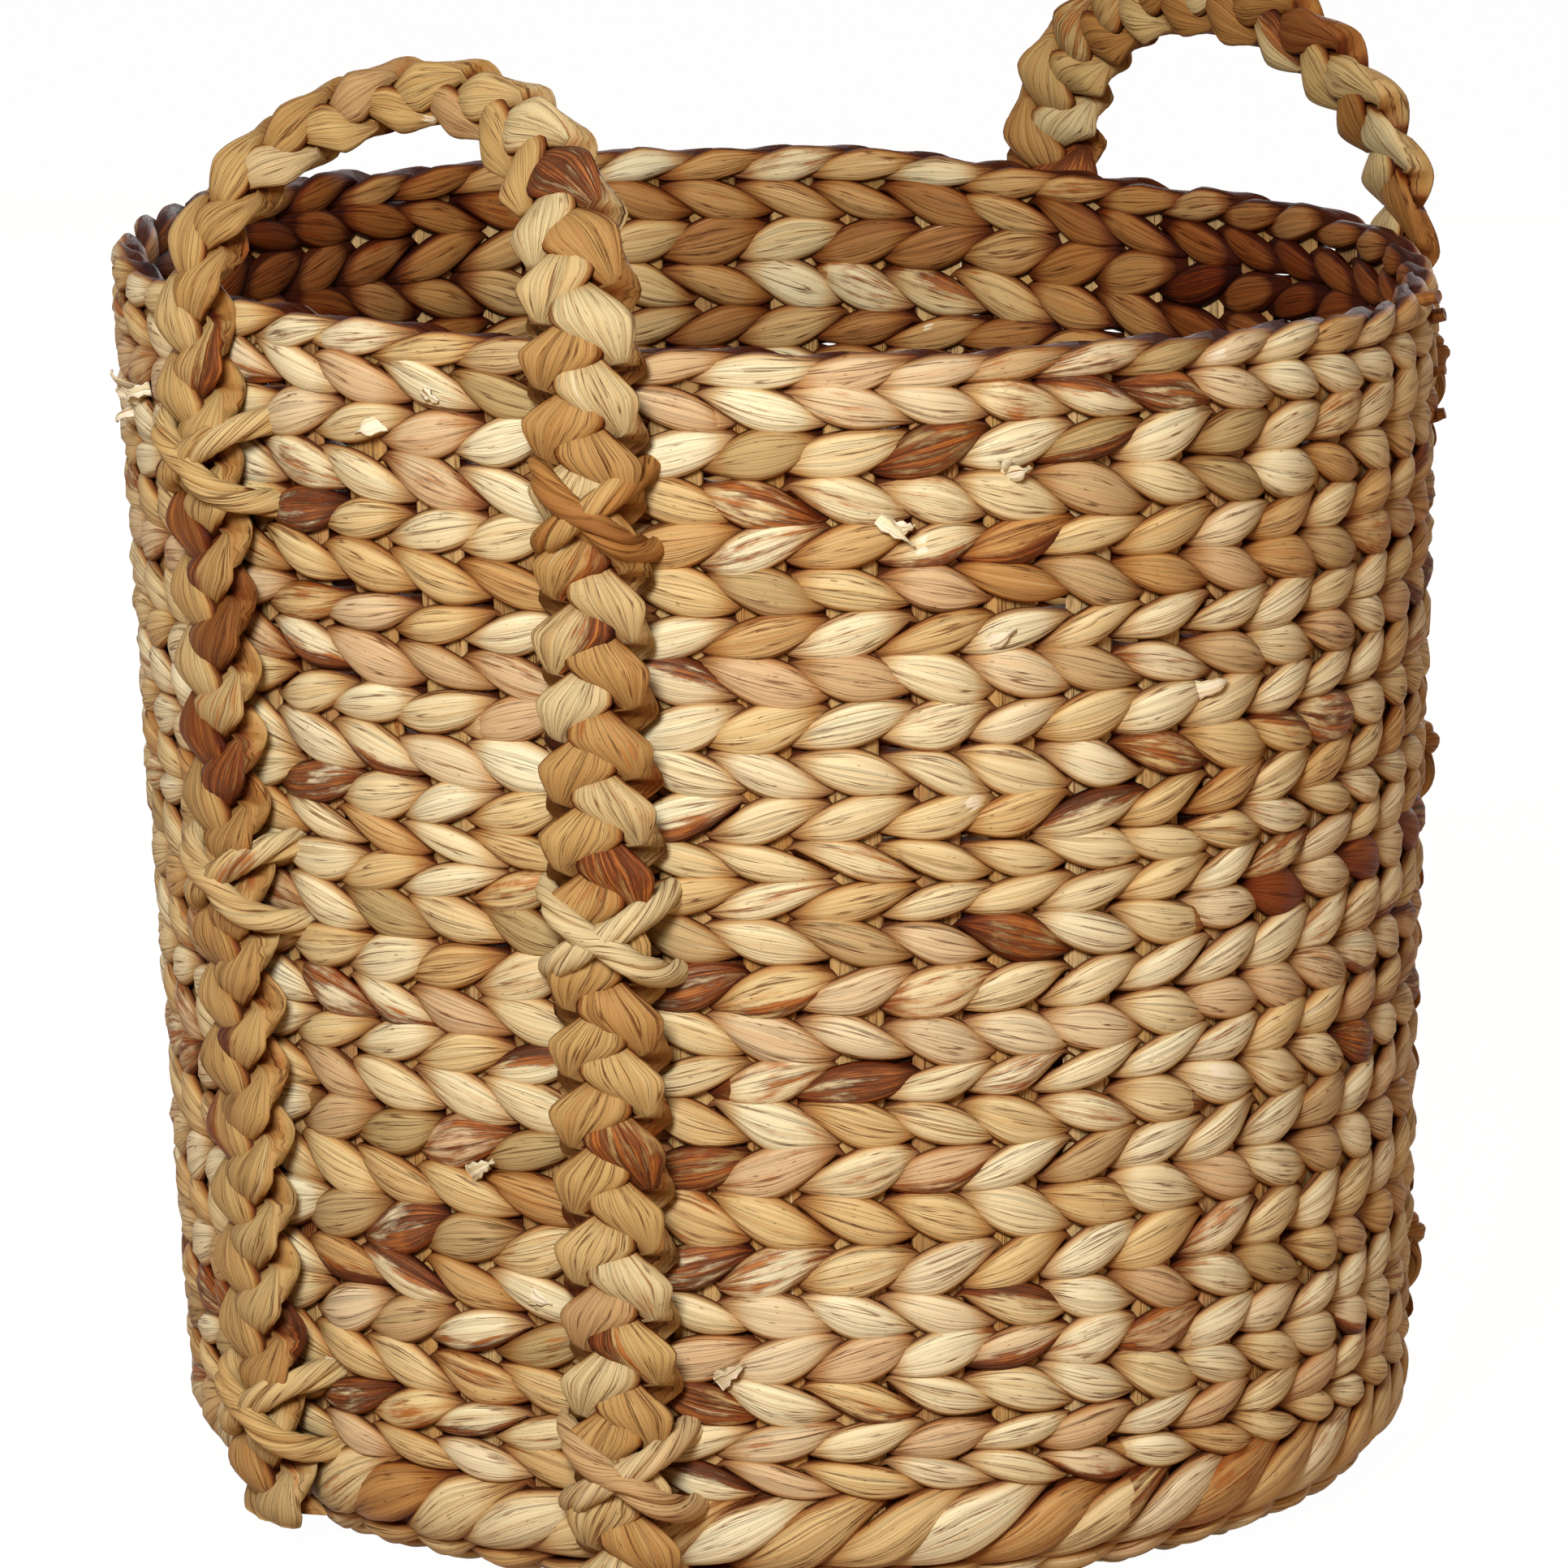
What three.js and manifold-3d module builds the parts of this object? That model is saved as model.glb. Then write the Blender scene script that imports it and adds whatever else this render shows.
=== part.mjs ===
// A round basket twined from flattened water hyacinth stems, with two braided handles.
// Millimetres, +Z up. The origin is the middle of the foot, on the basket's axis.
// Each twined course is a pair of stems that passes outside and inside flat upright stakes
// and crosses between them, so its ring has a slot for the stakes and bridges at crossings.

import * as THREE from 'three';
import { mergeVertices } from 'three/addons/utils/BufferGeometryUtils.js';
import Module from 'manifold-3d';

const wasm = await Module();
wasm.setup();

// Body
const RIM_RADIUS = 215; // outside of the wall at its last course
const FOOT_RADIUS = 202; // outside of the wall where it turns under
const BEND_RADIUS = 31; // outside radius of the turn from wall to base
const STRAND_THICKNESS = 5.5; // a flattened stem where it crosses a stake
const CLEARANCE = 0.3; // between pieces that press on each other

// Courses, from the foot up. The stems vary, so each course has a share of the mean height
const COURSE_HEIGHT = 14;
const COURSE_SHARES = [
  0.80, 0.89, 1.03, 1.02, 1.02, 1.18, 1.14, 1.09, 1.06, 0.94, 0.99, 1.10, 1.02,
  0.86, 0.86, 0.97, 1.03, 1.04, 0.99, 0.97, 1.01, 0.94, 1.07, 1.07, 0.91,
];
const COURSE_FACE_SHARE = 0.45; // of a course's height that bears the full thickness
const WALE_RISE = 6; // how far the foot wale climbs above the turn

// Stakes: flat stems from the middle of the base up to the rim
const BAY_COUNT = 5; // a bay lies between two modelled crossings
const STAKES_PER_BAY = 10;
const STAKES_PER_FACET = 2;
const STAKE_WIDTH = 12;
const STAKE_THICKNESS = 2.4;
const SPOKE_SHARE = 0.56; // of the pitch, where the spokes crowd towards the middle
const HUB_RADIUS = 40; // where the spokes are bound together
const BEND_STEPS = 3;
const CROSSING_WIDTH = 6; // of a crossing, at the foot

// Rim
const RIM_ROPE_HEIGHT = 9.7;
const STAKE_TUCK = 4.5; // of a stake's tip inside the rim rope
const ROPE_CROWN_SHARE = 0.4; // of half the rope's thickness, flat on its top

// Handles: three-strand braids that run down the wall on both legs
const BRAID_WIDTH = 29;
const BRAID_THICKNESS = 14;
const BRAID_CORNER_SHARES = [[1, 0.42], [0.6, 1]]; // of half width and half thickness
const ARCH_RISE = 68; // of the braid's middle above the top of the wall
const ARCH_STEPS = 18;
const LEG_END_TURN = 30; // degrees round the foot's turn
// Turn and half spread in degrees, lean of the top towards the axis as a share of the rise, and
// for each leg the degrees up the arch between which the flat braid turns onto its edge
const HANDLES = [
  { name: 'handle_braid_left', turn: 186.75, spread: 19.3, leanShare: 0.5, twists: [[0, 30], [45, 85]] },
  { name: 'handle_braid_right', turn: 353.25, spread: 22.2, leanShare: 0.09, twists: [[40, 82], [40, 82]] },
];
const LEGS = [{ name: 'a', side: -1 }, { name: 'b', side: 1 }];

// Lashings: crossed cords that hold the braids to the wall, at shares of its height
const LASHING_LEVELS = [
  { name: 'low', share: 0.03 },
  { name: 'middle', share: 0.517 },
  { name: 'high', share: 0.894 },
];
const CORD_RADIUS = 3.5;
const CORD_SIDES = 4;
const LASHING_RISE = 26; // along the leg, from foot to foot of one cord
const LASHING_DROP = 8.4; // from the cord over the braid to the bend beside it
const LASHING_OVERHANG = 5.7; // of the cord beside the braid's edge
const LASHING_TOP_SHARE = 0.83; // of half the braid's width, where the cord bends down

// Colours of the dried stems
const STEM_COLOURS = [0xcfa86c, 0xc49a5e, 0xd6b47c, 0xb98f58, 0xc8a470];
const STAKE_COLOUR = 0xb08a5c;
const BRAID_COLOUR = 0xc29a62;
const CORD_COLOUR = 0x9a6f44;
const STEM_ROUGHNESS = 0.72;

// Worked out from the sizes above
const SLOT = STAKE_THICKNESS + 2 * CLEARANCE;
const MIDDLE = STRAND_THICKNESS + SLOT / 2; // depth of the stakes behind the outer face
const WALL_BOTTOM = BEND_RADIUS + WALE_RISE;
const SHARE_SUM = COURSE_SHARES.reduce((sum, share) => sum + share);
const WALL_TOP = WALL_BOTTOM + COURSE_HEIGHT * COURSE_SHARES.length;
const STAKE_COUNT = BAY_COUNT * STAKES_PER_BAY;
const PITCH = (2 * Math.PI) / STAKE_COUNT;
const CROSSING_ANGLE = CROSSING_WIDTH / FOOT_RADIUS;
const SPRING_HEIGHT = WALL_TOP + RIM_ROPE_HEIGHT; // where the arches start
const WALL_SLOPE = (RIM_RADIUS - FOOT_RADIUS) / (WALL_TOP - BEND_RADIUS);

// Collects triangles, drops those that a point on the axis flattens, and gives a geometry
class Faces {
  points = [];

  triangle(a, b, c) {
    if (a.equals(b) || b.equals(c) || c.equals(a)) return;
    this.points.push(a, b, c);
  }

  quad(a, b, c, d) {
    this.triangle(a, b, c);
    this.triangle(a, c, d);
  }

  geometry() {
    const loose = new THREE.BufferGeometry().setFromPoints(this.points);
    return mergeVertices(loose);
  }
}

// The line of a stake in its own plane, from the hub out and up: x is the radius, y the height
function stakeLine() {
  const centre = new THREE.Vector2(FOOT_RADIUS - BEND_RADIUS, BEND_RADIUS);
  const radius = BEND_RADIUS - MIDDLE;
  const line = [new THREE.Vector2(HUB_RADIUS, MIDDLE)];
  for (let i = 0; i <= BEND_STEPS; i++) {
    const angle = (Math.PI / 2) * (i / BEND_STEPS - 1);
    line.push(new THREE.Vector2(Math.cos(angle), Math.sin(angle)).multiplyScalar(radius).add(centre));
  }
  const foot = line[line.length - 1];
  const top = foot.x + WALL_SLOPE * (SPRING_HEIGHT - foot.y);
  line.push(new THREE.Vector2(top, SPRING_HEIGHT));
  return line;
}

const LINE = stakeLine();
const LENGTHS = [0];
for (let i = 1; i < LINE.length; i++) LENGTHS.push(LENGTHS[i - 1] + LINE[i].distanceTo(LINE[i - 1]));
const BEND_START = LENGTHS[1];
const BEND_END = LENGTHS[1 + BEND_STEPS];
const WALL_STRETCH = (LENGTHS[LENGTHS.length - 1] - BEND_END) / (SPRING_HEIGHT - BEND_RADIUS);

// The length along the stake line of a height on the wall
function wallLength(height) {
  return BEND_END + (height - BEND_RADIUS) * WALL_STRETCH;
}

// The unit normal of one stretch of the line, pointing out of the basket
function stretchNormal(index) {
  const along = LINE[index + 1].clone().sub(LINE[index]).normalize();
  return new THREE.Vector2(along.y, -along.x);
}

// The mitred normal of the corner where two stretches of the line meet
function cornerNormal(index) {
  const before = stretchNormal(index - 1);
  const after = stretchNormal(index);
  const normal = before.clone().add(after).normalize();
  return normal.divideScalar(normal.dot(after));
}

// A point on the stake line and the vector that offsets it by one millimetre outwards. A course
// that ends at a corner of the line is cut along the mitre
function stationAt(length) {
  let index = 0;
  while (index < LINE.length - 2 && LENGTHS[index + 1] < length) index++;
  const share = (length - LENGTHS[index]) / (LENGTHS[index + 1] - LENGTHS[index]);
  const point = LINE[index].clone().lerp(LINE[index + 1], share);
  const nearest = Math.round(share) + index;
  const isCorner = nearest > 0 && nearest < LINE.length - 1;
  const isClose = Math.abs(length - LENGTHS[nearest]) < CLEARANCE;
  return { point, normal: isCorner && isClose ? cornerNormal(nearest) : stretchNormal(index) };
}

// Stations between two lengths, with the corners between them
function stationsBetween(low, high) {
  const stations = [stationAt(low)];
  for (let i = 1; i < LINE.length - 1; i++) {
    if (LENGTHS[i] - low < CLEARANCE || high - LENGTHS[i] < CLEARANCE) continue;
    stations.push({ point: LINE[i].clone(), normal: cornerNormal(i) });
  }
  stations.push(stationAt(high));
  return stations;
}

function offsetPoints(stations, depth) {
  return stations.map(({ point, normal }) => point.clone().addScaledVector(normal, depth));
}

// Directions of the facets' corners round the axis: two beside each crossing, then between stakes
function facetCorners() {
  const corners = [];
  for (let bay = 0; bay < BAY_COUNT; bay++) {
    const start = bay * STAKES_PER_BAY * PITCH;
    corners.push({ angle: start - CROSSING_ANGLE / 2, startsCrossing: true });
    corners.push({ angle: start + CROSSING_ANGLE / 2, startsCrossing: false });
    for (let i = STAKES_PER_FACET; i < STAKES_PER_BAY; i += STAKES_PER_FACET) {
      corners.push({ angle: start + i * PITCH, startsCrossing: false });
    }
  }
  return corners.map((corner) => ({
    ...corner,
    way: new THREE.Vector3(Math.cos(corner.angle), Math.sin(corner.angle), 0),
  }));
}

const CORNERS = facetCorners();

function around(point, corner) {
  return corner.way.clone().multiplyScalar(point.x).setZ(point.y);
}

// Turns a closed section, listed anticlockwise with the radius to the right, round the axis
function turnSection(faces, section, edgeIsOpen = () => false) {
  CORNERS.forEach((corner, c) => {
    const next = CORNERS[(c + 1) % CORNERS.length];
    section.forEach((point, i) => {
      if (edgeIsOpen(i) && corner.startsCrossing) return;
      const after = section[(i + 1) % section.length];
      faces.quad(around(point, corner), around(point, next), around(after, next), around(after, corner));
    });
  });
}

// A twined course: the strand outside the stakes, the strand inside them, and the crossings.
// Each list of points runs the way that the stake line runs
function courseGeometry({ outerFace, slotOuter, slotInner, innerFace }) {
  const faces = new Faces();
  const steps = slotOuter.length - 1;
  turnSection(faces, [...slotOuter].reverse().concat(outerFace), (i) => i < steps);
  turnSection(faces, slotInner.concat([...innerFace].reverse()), (i) => i < steps);
  CORNERS.forEach((corner, c) => {
    if (!corner.startsCrossing) return;
    const next = CORNERS[(c + 1) % CORNERS.length];
    const ends = [[slotOuter[steps], slotInner[steps]], [slotInner[0], slotOuter[0]]];
    for (const [from, to] of ends) {
      faces.quad(around(from, corner), around(from, next), around(to, next), around(to, corner));
    }
    for (let i = 0; i < steps; i++) {
      faces.quad(
        around(slotInner[i], corner), around(slotOuter[i], corner),
        around(slotOuter[i + 1], corner), around(slotInner[i + 1], corner),
      );
      faces.quad(
        around(slotInner[i], next), around(slotInner[i + 1], next),
        around(slotOuter[i + 1], next), around(slotOuter[i], next),
      );
    }
  });
  return faces.geometry();
}

// A course between two lengths along the stakes, with a gap to the courses beside it
function courseBetween(low, high) {
  const from = low + CLEARANCE / 2;
  const to = high - CLEARANCE / 2;
  const slope = ((to - from) * (1 - COURSE_FACE_SHARE)) / 2;
  const centre = (from + to) / 2;
  const stations = stationsBetween(from, to);
  const faceStations = stationsBetween(from + slope, to - slope);
  const isStraight = stations.length === 2;
  return courseGeometry({
    outerFace: offsetPoints(faceStations, MIDDLE),
    slotOuter: offsetPoints(stations, SLOT / 2),
    slotInner: offsetPoints(stations, -SLOT / 2),
    innerFace: offsetPoints(isStraight ? [stationAt(centre)] : faceStations, -MIDDLE),
  });
}

// The base: twined layers under and over the spokes, closed in the middle
function baseGeometry() {
  const edge = stationAt(BEND_START - CLEARANCE / 2);
  const atEdge = (depth) => offsetPoints([edge], depth)[0];
  const inside = HUB_RADIUS + 2 * CLEARANCE;
  const at = (radius, depth) => new THREE.Vector2(radius, MIDDLE - depth);
  return courseGeometry({
    outerFace: [at(0, SLOT / 2), at(0, MIDDLE), atEdge(MIDDLE)],
    slotOuter: [at(inside, SLOT / 2), atEdge(SLOT / 2)],
    slotInner: [at(inside, -SLOT / 2), atEdge(-SLOT / 2)],
    innerFace: [at(0, -SLOT / 2), at(0, -MIDDLE), atEdge(-MIDDLE)],
  });
}

// The rim rope: a twisted pair on top of the last course, grooved for the stakes' tips
function rimRopeGeometry() {
  const low = wallLength(WALL_TOP) + CLEARANCE;
  const high = wallLength(SPRING_HEIGHT);
  const middle = (low + high) / 2;
  const place = (length, depth) => offsetPoints([stationAt(length)], depth)[0];
  const groove = wallLength(WALL_TOP + STAKE_TUCK) + 2 * CLEARANCE;
  const faces = new Faces();
  turnSection(faces, [
    place(low, SLOT / 2),
    place(middle, MIDDLE),
    place(high, MIDDLE * ROPE_CROWN_SHARE),
    place(high, -MIDDLE * ROPE_CROWN_SHARE),
    place(middle, -MIDDLE),
    place(low, -SLOT / 2),
    place(groove, -SLOT / 2),
    place(groove, SLOT / 2),
  ]);
  return faces.geometry();
}

// A place on the facets at an angle from the axis: its direction, not of unit length,
// and the direction of the facet that it lies on
function facetAt(angle) {
  const turn = 2 * Math.PI;
  const from = CORNERS.findLastIndex((corner) => corner.angle <= angle);
  const start = CORNERS[from];
  const end = CORNERS[(from + 1) % CORNERS.length];
  const endAngle = end.angle > start.angle ? end.angle : end.angle + turn;
  const share = (angle - start.angle) / (endAngle - start.angle);
  return {
    way: start.way.clone().lerp(end.way, share),
    along: end.way.clone().sub(start.way).normalize(),
  };
}

// All stakes and their hub: flat strips that fan out from the middle, turn up and reach the rim
function stakesGeometry() {
  const faces = new Faces();
  const tip = wallLength(WALL_TOP + STAKE_TUCK);
  const stations = stationsBetween(0, tip);
  const strips = [];
  for (let i = 0; i < STAKE_COUNT; i++) {
    const { way, along } = facetAt((i + 0.5) * PITCH);
    const strip = stations.map(({ point, normal }) => {
      const half = Math.min(STAKE_WIDTH, SPOKE_SHARE * PITCH * point.x) / 2;
      const corner = (depth, side) => {
        const radius = point.x + normal.x * depth;
        const height = point.y + normal.y * depth;
        return way.clone().multiplyScalar(radius).setZ(height).addScaledVector(along, side * half);
      };
      const depth = STAKE_THICKNESS / 2;
      return [corner(depth, -1), corner(depth, 1), corner(-depth, 1), corner(-depth, -1)];
    });
    strips.push(strip);
    for (let s = 0; s < strip.length - 1; s++) {
      for (let c = 0; c < 4; c++) {
        const d = (c + 1) % 4;
        faces.quad(strip[s][c], strip[s][d], strip[s + 1][d], strip[s + 1][c]);
      }
    }
    const [a, b, c, d] = strip[strip.length - 1];
    faces.quad(a, b, c, d);
  }
  const under = new THREE.Vector3(0, 0, MIDDLE - STAKE_THICKNESS / 2);
  const over = new THREE.Vector3(0, 0, MIDDLE + STAKE_THICKNESS / 2);
  strips.forEach((strip, i) => {
    const here = strip[0];
    const next = strips[(i + 1) % STAKE_COUNT][0];
    faces.triangle(over, here[3], here[2]);
    faces.triangle(over, here[2], next[3]);
    faces.triangle(under, here[1], here[0]);
    faces.triangle(under, next[0], here[1]);
    faces.quad(here[1], next[0], next[3], here[2]);
  });
  return faces.geometry();
}

// A closed tube through frames, each with a middle and the corners of its ring. The rings turn
// anticlockwise seen from ahead
function tubeGeometry(rings) {
  const faces = new Faces();
  const sides = rings[0].length;
  for (let r = 0; r < rings.length - 1; r++) {
    for (let i = 0; i < sides; i++) {
      const j = (i + 1) % sides;
      faces.quad(rings[r][i], rings[r][j], rings[r + 1][j], rings[r + 1][i]);
    }
  }
  const first = rings[0];
  const last = rings[rings.length - 1];
  for (let i = 1; i < sides - 1; i++) {
    faces.triangle(first[0], first[i + 1], first[i]);
    faces.triangle(last[0], last[i], last[i + 1]);
  }
  return faces.geometry();
}

// The radius of the wall's outside at a height
function wallRadius(height) {
  return FOOT_RADIUS + WALL_SLOPE * (height - BEND_RADIUS);
}

function outward(turn) {
  const angle = THREE.MathUtils.degToRad(turn);
  return new THREE.Vector3(Math.cos(angle), Math.sin(angle), 0);
}

// Frames of one leg of a handle, from its tip under the foot's turn up to the top of the rim:
// the middle of the braid and the direction out of the wall
function legFrames(turn) {
  const out = outward(turn);
  const depth = CLEARANCE + BRAID_THICKNESS / 2;
  const facetedBend = BEND_RADIUS / Math.cos(Math.PI / (4 * BEND_STEPS));
  const frames = [];
  for (const share of [1, 0.5]) {
    const angle = -THREE.MathUtils.degToRad(LEG_END_TURN) * share;
    const normal = out.clone().multiplyScalar(Math.cos(angle)).setZ(Math.sin(angle));
    const middle = out.clone().multiplyScalar(FOOT_RADIUS - BEND_RADIUS).setZ(BEND_RADIUS);
    frames.push({ middle: middle.addScaledVector(normal, facetedBend + depth), out: normal });
  }
  for (const height of [BEND_RADIUS, SPRING_HEIGHT]) {
    const middle = out.clone().multiplyScalar(wallRadius(height) + depth).setZ(height);
    frames.push({ middle, out });
  }
  return frames;
}

// Frames of the arch between two legs: half an ellipse that leans towards the axis
function archFrames({ turn, spread, leanShare, twists }) {
  const radius = wallRadius(SPRING_HEIGHT) + CLEARANCE + BRAID_THICKNESS / 2;
  const half = THREE.MathUtils.degToRad(spread);
  const out = outward(turn);
  const along = new THREE.Vector3(-out.y, out.x, 0);
  const frames = [];
  for (let i = 1; i < ARCH_STEPS; i++) {
    const angle = (Math.PI * i) / ARCH_STEPS;
    const rise = Math.sin(angle);
    const reach = radius * Math.cos(half) - leanShare * ARCH_RISE * rise * rise;
    const middle = out.clone().multiplyScalar(reach);
    middle.addScaledVector(along, -radius * Math.sin(half) * Math.cos(angle));
    middle.z = SPRING_HEIGHT + ARCH_RISE * rise;
    const degrees = THREE.MathUtils.radToDeg(Math.min(angle, Math.PI - angle));
    const [start, end] = angle < Math.PI / 2 ? twists[0] : twists[1];
    const twist = THREE.MathUtils.smoothstep(degrees, start, end);
    frames.push({ middle, out: middle.clone().setZ(0).normalize(), twist });
  }
  return frames;
}

// A handle: up one leg, over the arch and down the other leg
function handleGeometry(handle) {
  const up = legFrames(handle.turn - handle.spread);
  const down = legFrames(handle.turn + handle.spread).reverse();
  const frames = [...up, ...archFrames(handle), ...down];
  const rings = frames.map(({ middle, out, twist = 0 }, i) => {
    const before = frames[Math.max(i - 1, 0)].middle;
    const after = frames[Math.min(i + 1, frames.length - 1)].middle;
    const ahead = after.clone().sub(before).normalize();
    const flat = new THREE.Vector3().crossVectors(ahead, out).normalize();
    const face = new THREE.Vector3().crossVectors(flat, ahead);
    const angle = (twist * Math.PI) / 2;
    const wide = flat.clone().multiplyScalar(Math.cos(angle)).addScaledVector(face, Math.sin(angle));
    const thick = new THREE.Vector3().crossVectors(wide, ahead);
    const ring = [];
    for (const [w, t] of [[1, 1], [-1, 1], [-1, -1], [1, -1]]) {
      const shares = w === t ? BRAID_CORNER_SHARES : [...BRAID_CORNER_SHARES].reverse();
      for (const [wideShare, thickShare] of shares) {
        ring.push(middle.clone()
          .addScaledVector(wide, (w * wideShare * BRAID_WIDTH) / 2)
          .addScaledVector(thick, (t * thickShare * BRAID_THICKNESS) / 2));
      }
    }
    return ring.reverse();
  });
  return tubeGeometry(rings);
}

// One cord of a lashing in the lashing's own frame: x round the wall, y out of it, z up it.
// It comes out of the wall, bends over the braid and goes back in on the other side
function cordGeometry(side) {
  const top = 2 * CLEARANCE + BRAID_THICKNESS + CORD_RADIUS;
  const edge = BRAID_WIDTH / 2 + LASHING_OVERHANG;
  const bend = (BRAID_WIDTH / 2) * LASHING_TOP_SHARE;
  const route = [
    [-edge, CLEARANCE], [-edge, top - LASHING_DROP], [-bend, top],
    [bend, top], [edge, top - LASHING_DROP], [edge, CLEARANCE],
  ].map(([x, y]) => new THREE.Vector3(x, y, (side * LASHING_RISE * x) / (2 * edge)));
  const rings = route.map((middle, i) => {
    const before = route[Math.max(i - 1, 0)];
    const after = route[Math.min(i + 1, route.length - 1)];
    const ahead = after.clone().sub(before).normalize();
    const flat = new THREE.Vector3(0, 0, 1).cross(ahead).normalize();
    const rest = new THREE.Vector3().crossVectors(ahead, flat);
    return Array.from({ length: CORD_SIDES }, (_, k) => {
      const angle = (2 * Math.PI * k) / CORD_SIDES;
      return middle.clone()
        .addScaledVector(flat, CORD_RADIUS * Math.cos(angle))
        .addScaledVector(rest, CORD_RADIUS * Math.sin(angle));
    });
  });
  return tubeGeometry(rings);
}

function toManifold(geometry) {
  return new wasm.Manifold(new wasm.Mesh({
    numProp: 3,
    vertProperties: new Float32Array(geometry.attributes.position.array),
    triVerts: new Uint32Array(geometry.index.array),
  }));
}

function fromManifold(solid) {
  const mesh = solid.getMesh();
  return new THREE.BufferGeometry()
    .setAttribute('position', new THREE.BufferAttribute(mesh.vertProperties, 3))
    .setIndex(new THREE.BufferAttribute(mesh.triVerts, 1));
}

// A lashing: two cords that cross over the braid
function lashingGeometry() {
  return fromManifold(toManifold(cordGeometry(1)).add(toManifold(cordGeometry(-1))));
}

const basket = new THREE.Group();

function addPiece(name, geometry, colour) {
  const material = new THREE.MeshStandardMaterial({
    color: colour,
    roughness: STEM_ROUGHNESS,
    metalness: 0,
    flatShading: true,
  });
  const mesh = new THREE.Mesh(geometry, material);
  mesh.name = name;
  basket.add(mesh);
  return mesh;
}

// Stakes and base
addPiece('stakes', stakesGeometry(), STAKE_COLOUR);
addPiece('base_weave', baseGeometry(), STEM_COLOURS[1]);

// The two courses that turn under at the foot
const bendMiddle = (BEND_START + BEND_END) / 2;
addPiece('foot_course', courseBetween(BEND_START, bendMiddle), STEM_COLOURS[3]);
addPiece('foot_wale', courseBetween(bendMiddle, wallLength(WALL_BOTTOM)), STEM_COLOURS[0]);

// The wall's courses, numbered from the foot up
let courseBottom = WALL_BOTTOM;
COURSE_SHARES.forEach((share, i) => {
  const top = courseBottom + (share / SHARE_SUM) * (WALL_TOP - WALL_BOTTOM);
  const name = 'course_' + String(i + 1).padStart(2, '0');
  const geometry = courseBetween(wallLength(courseBottom), wallLength(top));
  addPiece(name, geometry, STEM_COLOURS[i % STEM_COLOURS.length]);
  courseBottom = top;
});
addPiece('rim_rope', rimRopeGeometry(), STEM_COLOURS[2]);

// The handles and their lashings
for (const handle of HANDLES) {
  addPiece(handle.name, handleGeometry(handle), BRAID_COLOUR);
  for (const leg of LEGS) {
    const out = outward(handle.turn + leg.side * handle.spread);
    for (const level of LASHING_LEVELS) {
      const name = handle.name.replace('handle_braid', 'lashing') + '_' + leg.name + '_' + level.name;
      const height = WALL_BOTTOM + level.share * (WALL_TOP - WALL_BOTTOM);
      const lashing = addPiece(name, lashingGeometry(), CORD_COLOUR);
      lashing.position.copy(out).multiplyScalar(wallRadius(height)).setZ(height);
      lashing.rotation.z = Math.atan2(out.y, out.x) - Math.PI / 2;
    }
  }
}

export default basket;
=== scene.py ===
# A round basket twined from flattened water hyacinth stems over upright stakes, with two
# braided handles lashed to its wall. Lengths are millimetres until a mesh is made.

import math

import bpy
import numpy as np
from mathutils import Matrix, Vector


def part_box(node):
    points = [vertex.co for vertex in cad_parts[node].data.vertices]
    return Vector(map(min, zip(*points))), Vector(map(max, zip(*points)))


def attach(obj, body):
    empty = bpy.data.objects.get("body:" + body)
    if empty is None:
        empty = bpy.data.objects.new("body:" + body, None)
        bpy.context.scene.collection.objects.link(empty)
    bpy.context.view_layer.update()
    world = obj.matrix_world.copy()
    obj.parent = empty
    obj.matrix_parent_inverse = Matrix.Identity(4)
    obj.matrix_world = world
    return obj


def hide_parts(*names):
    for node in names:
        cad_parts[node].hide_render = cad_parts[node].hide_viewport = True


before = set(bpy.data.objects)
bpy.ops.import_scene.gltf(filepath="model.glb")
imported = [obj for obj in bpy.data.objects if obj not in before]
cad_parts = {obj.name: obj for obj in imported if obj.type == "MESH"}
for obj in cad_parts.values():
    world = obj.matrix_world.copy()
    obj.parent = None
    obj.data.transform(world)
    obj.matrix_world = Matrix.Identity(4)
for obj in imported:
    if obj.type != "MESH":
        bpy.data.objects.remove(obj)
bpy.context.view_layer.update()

bl_info = {
    "name": "Water hyacinth basket",
    "version": (1, 0, 0),
    "blender": (4, 5, 0),
    "location": "3D View > Sidebar > Basket",
    "description": "Twines the basket's courses, rim and base, and braids and lashes its handles",
    "category": "Add Mesh",
}

MILLIMETRE = 0.001
FULL_TURN = 2 * math.pi
UP = np.array([0.0, 0.0, 1.0])


def node_box(node):
    """Lowest and highest corner of a CAD node, in millimetres."""
    low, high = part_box(node)
    return np.array(low) / MILLIMETRE, np.array(high) / MILLIMETRE


def linear(value):
    """The linear colour of an sRGB hex value."""
    parts = [int(value[i:i + 2], 16) / 255 for i in (1, 3, 5)]
    return [c / 12.92 if c <= 0.04045 else ((c + 0.055) / 1.055) ** 2.4 for c in parts]


# Sizes that follow the CAD model
COURSES = sorted(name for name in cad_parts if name.startswith("course_"))
LOW_COURSE = node_box(COURSES[0])
HIGH_COURSE = node_box(COURSES[-1])
FOOT_RADIUS = (LOW_COURSE[1][0] - LOW_COURSE[0][0]) / 2
RIM_RADIUS = (HIGH_COURSE[1][0] - HIGH_COURSE[0][0]) / 2
WALL_BOTTOM = LOW_COURSE[0][2]
WALL_TOP = HIGH_COURSE[1][2]
WALL_SLOPE = (RIM_RADIUS - FOOT_RADIUS) / (WALL_TOP - LOW_COURSE[1][2])
RIM_TOP = node_box("rim_rope")[1][2]
BASE_THICKNESS = node_box("base_weave")[1][2]
MIDDLE = BASE_THICKNESS / 2  # depth of the stakes behind the outer face
BASE_RADIUS = node_box("base_weave")[1][0]
BEND_RADIUS = FOOT_RADIUS - BASE_RADIUS
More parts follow.
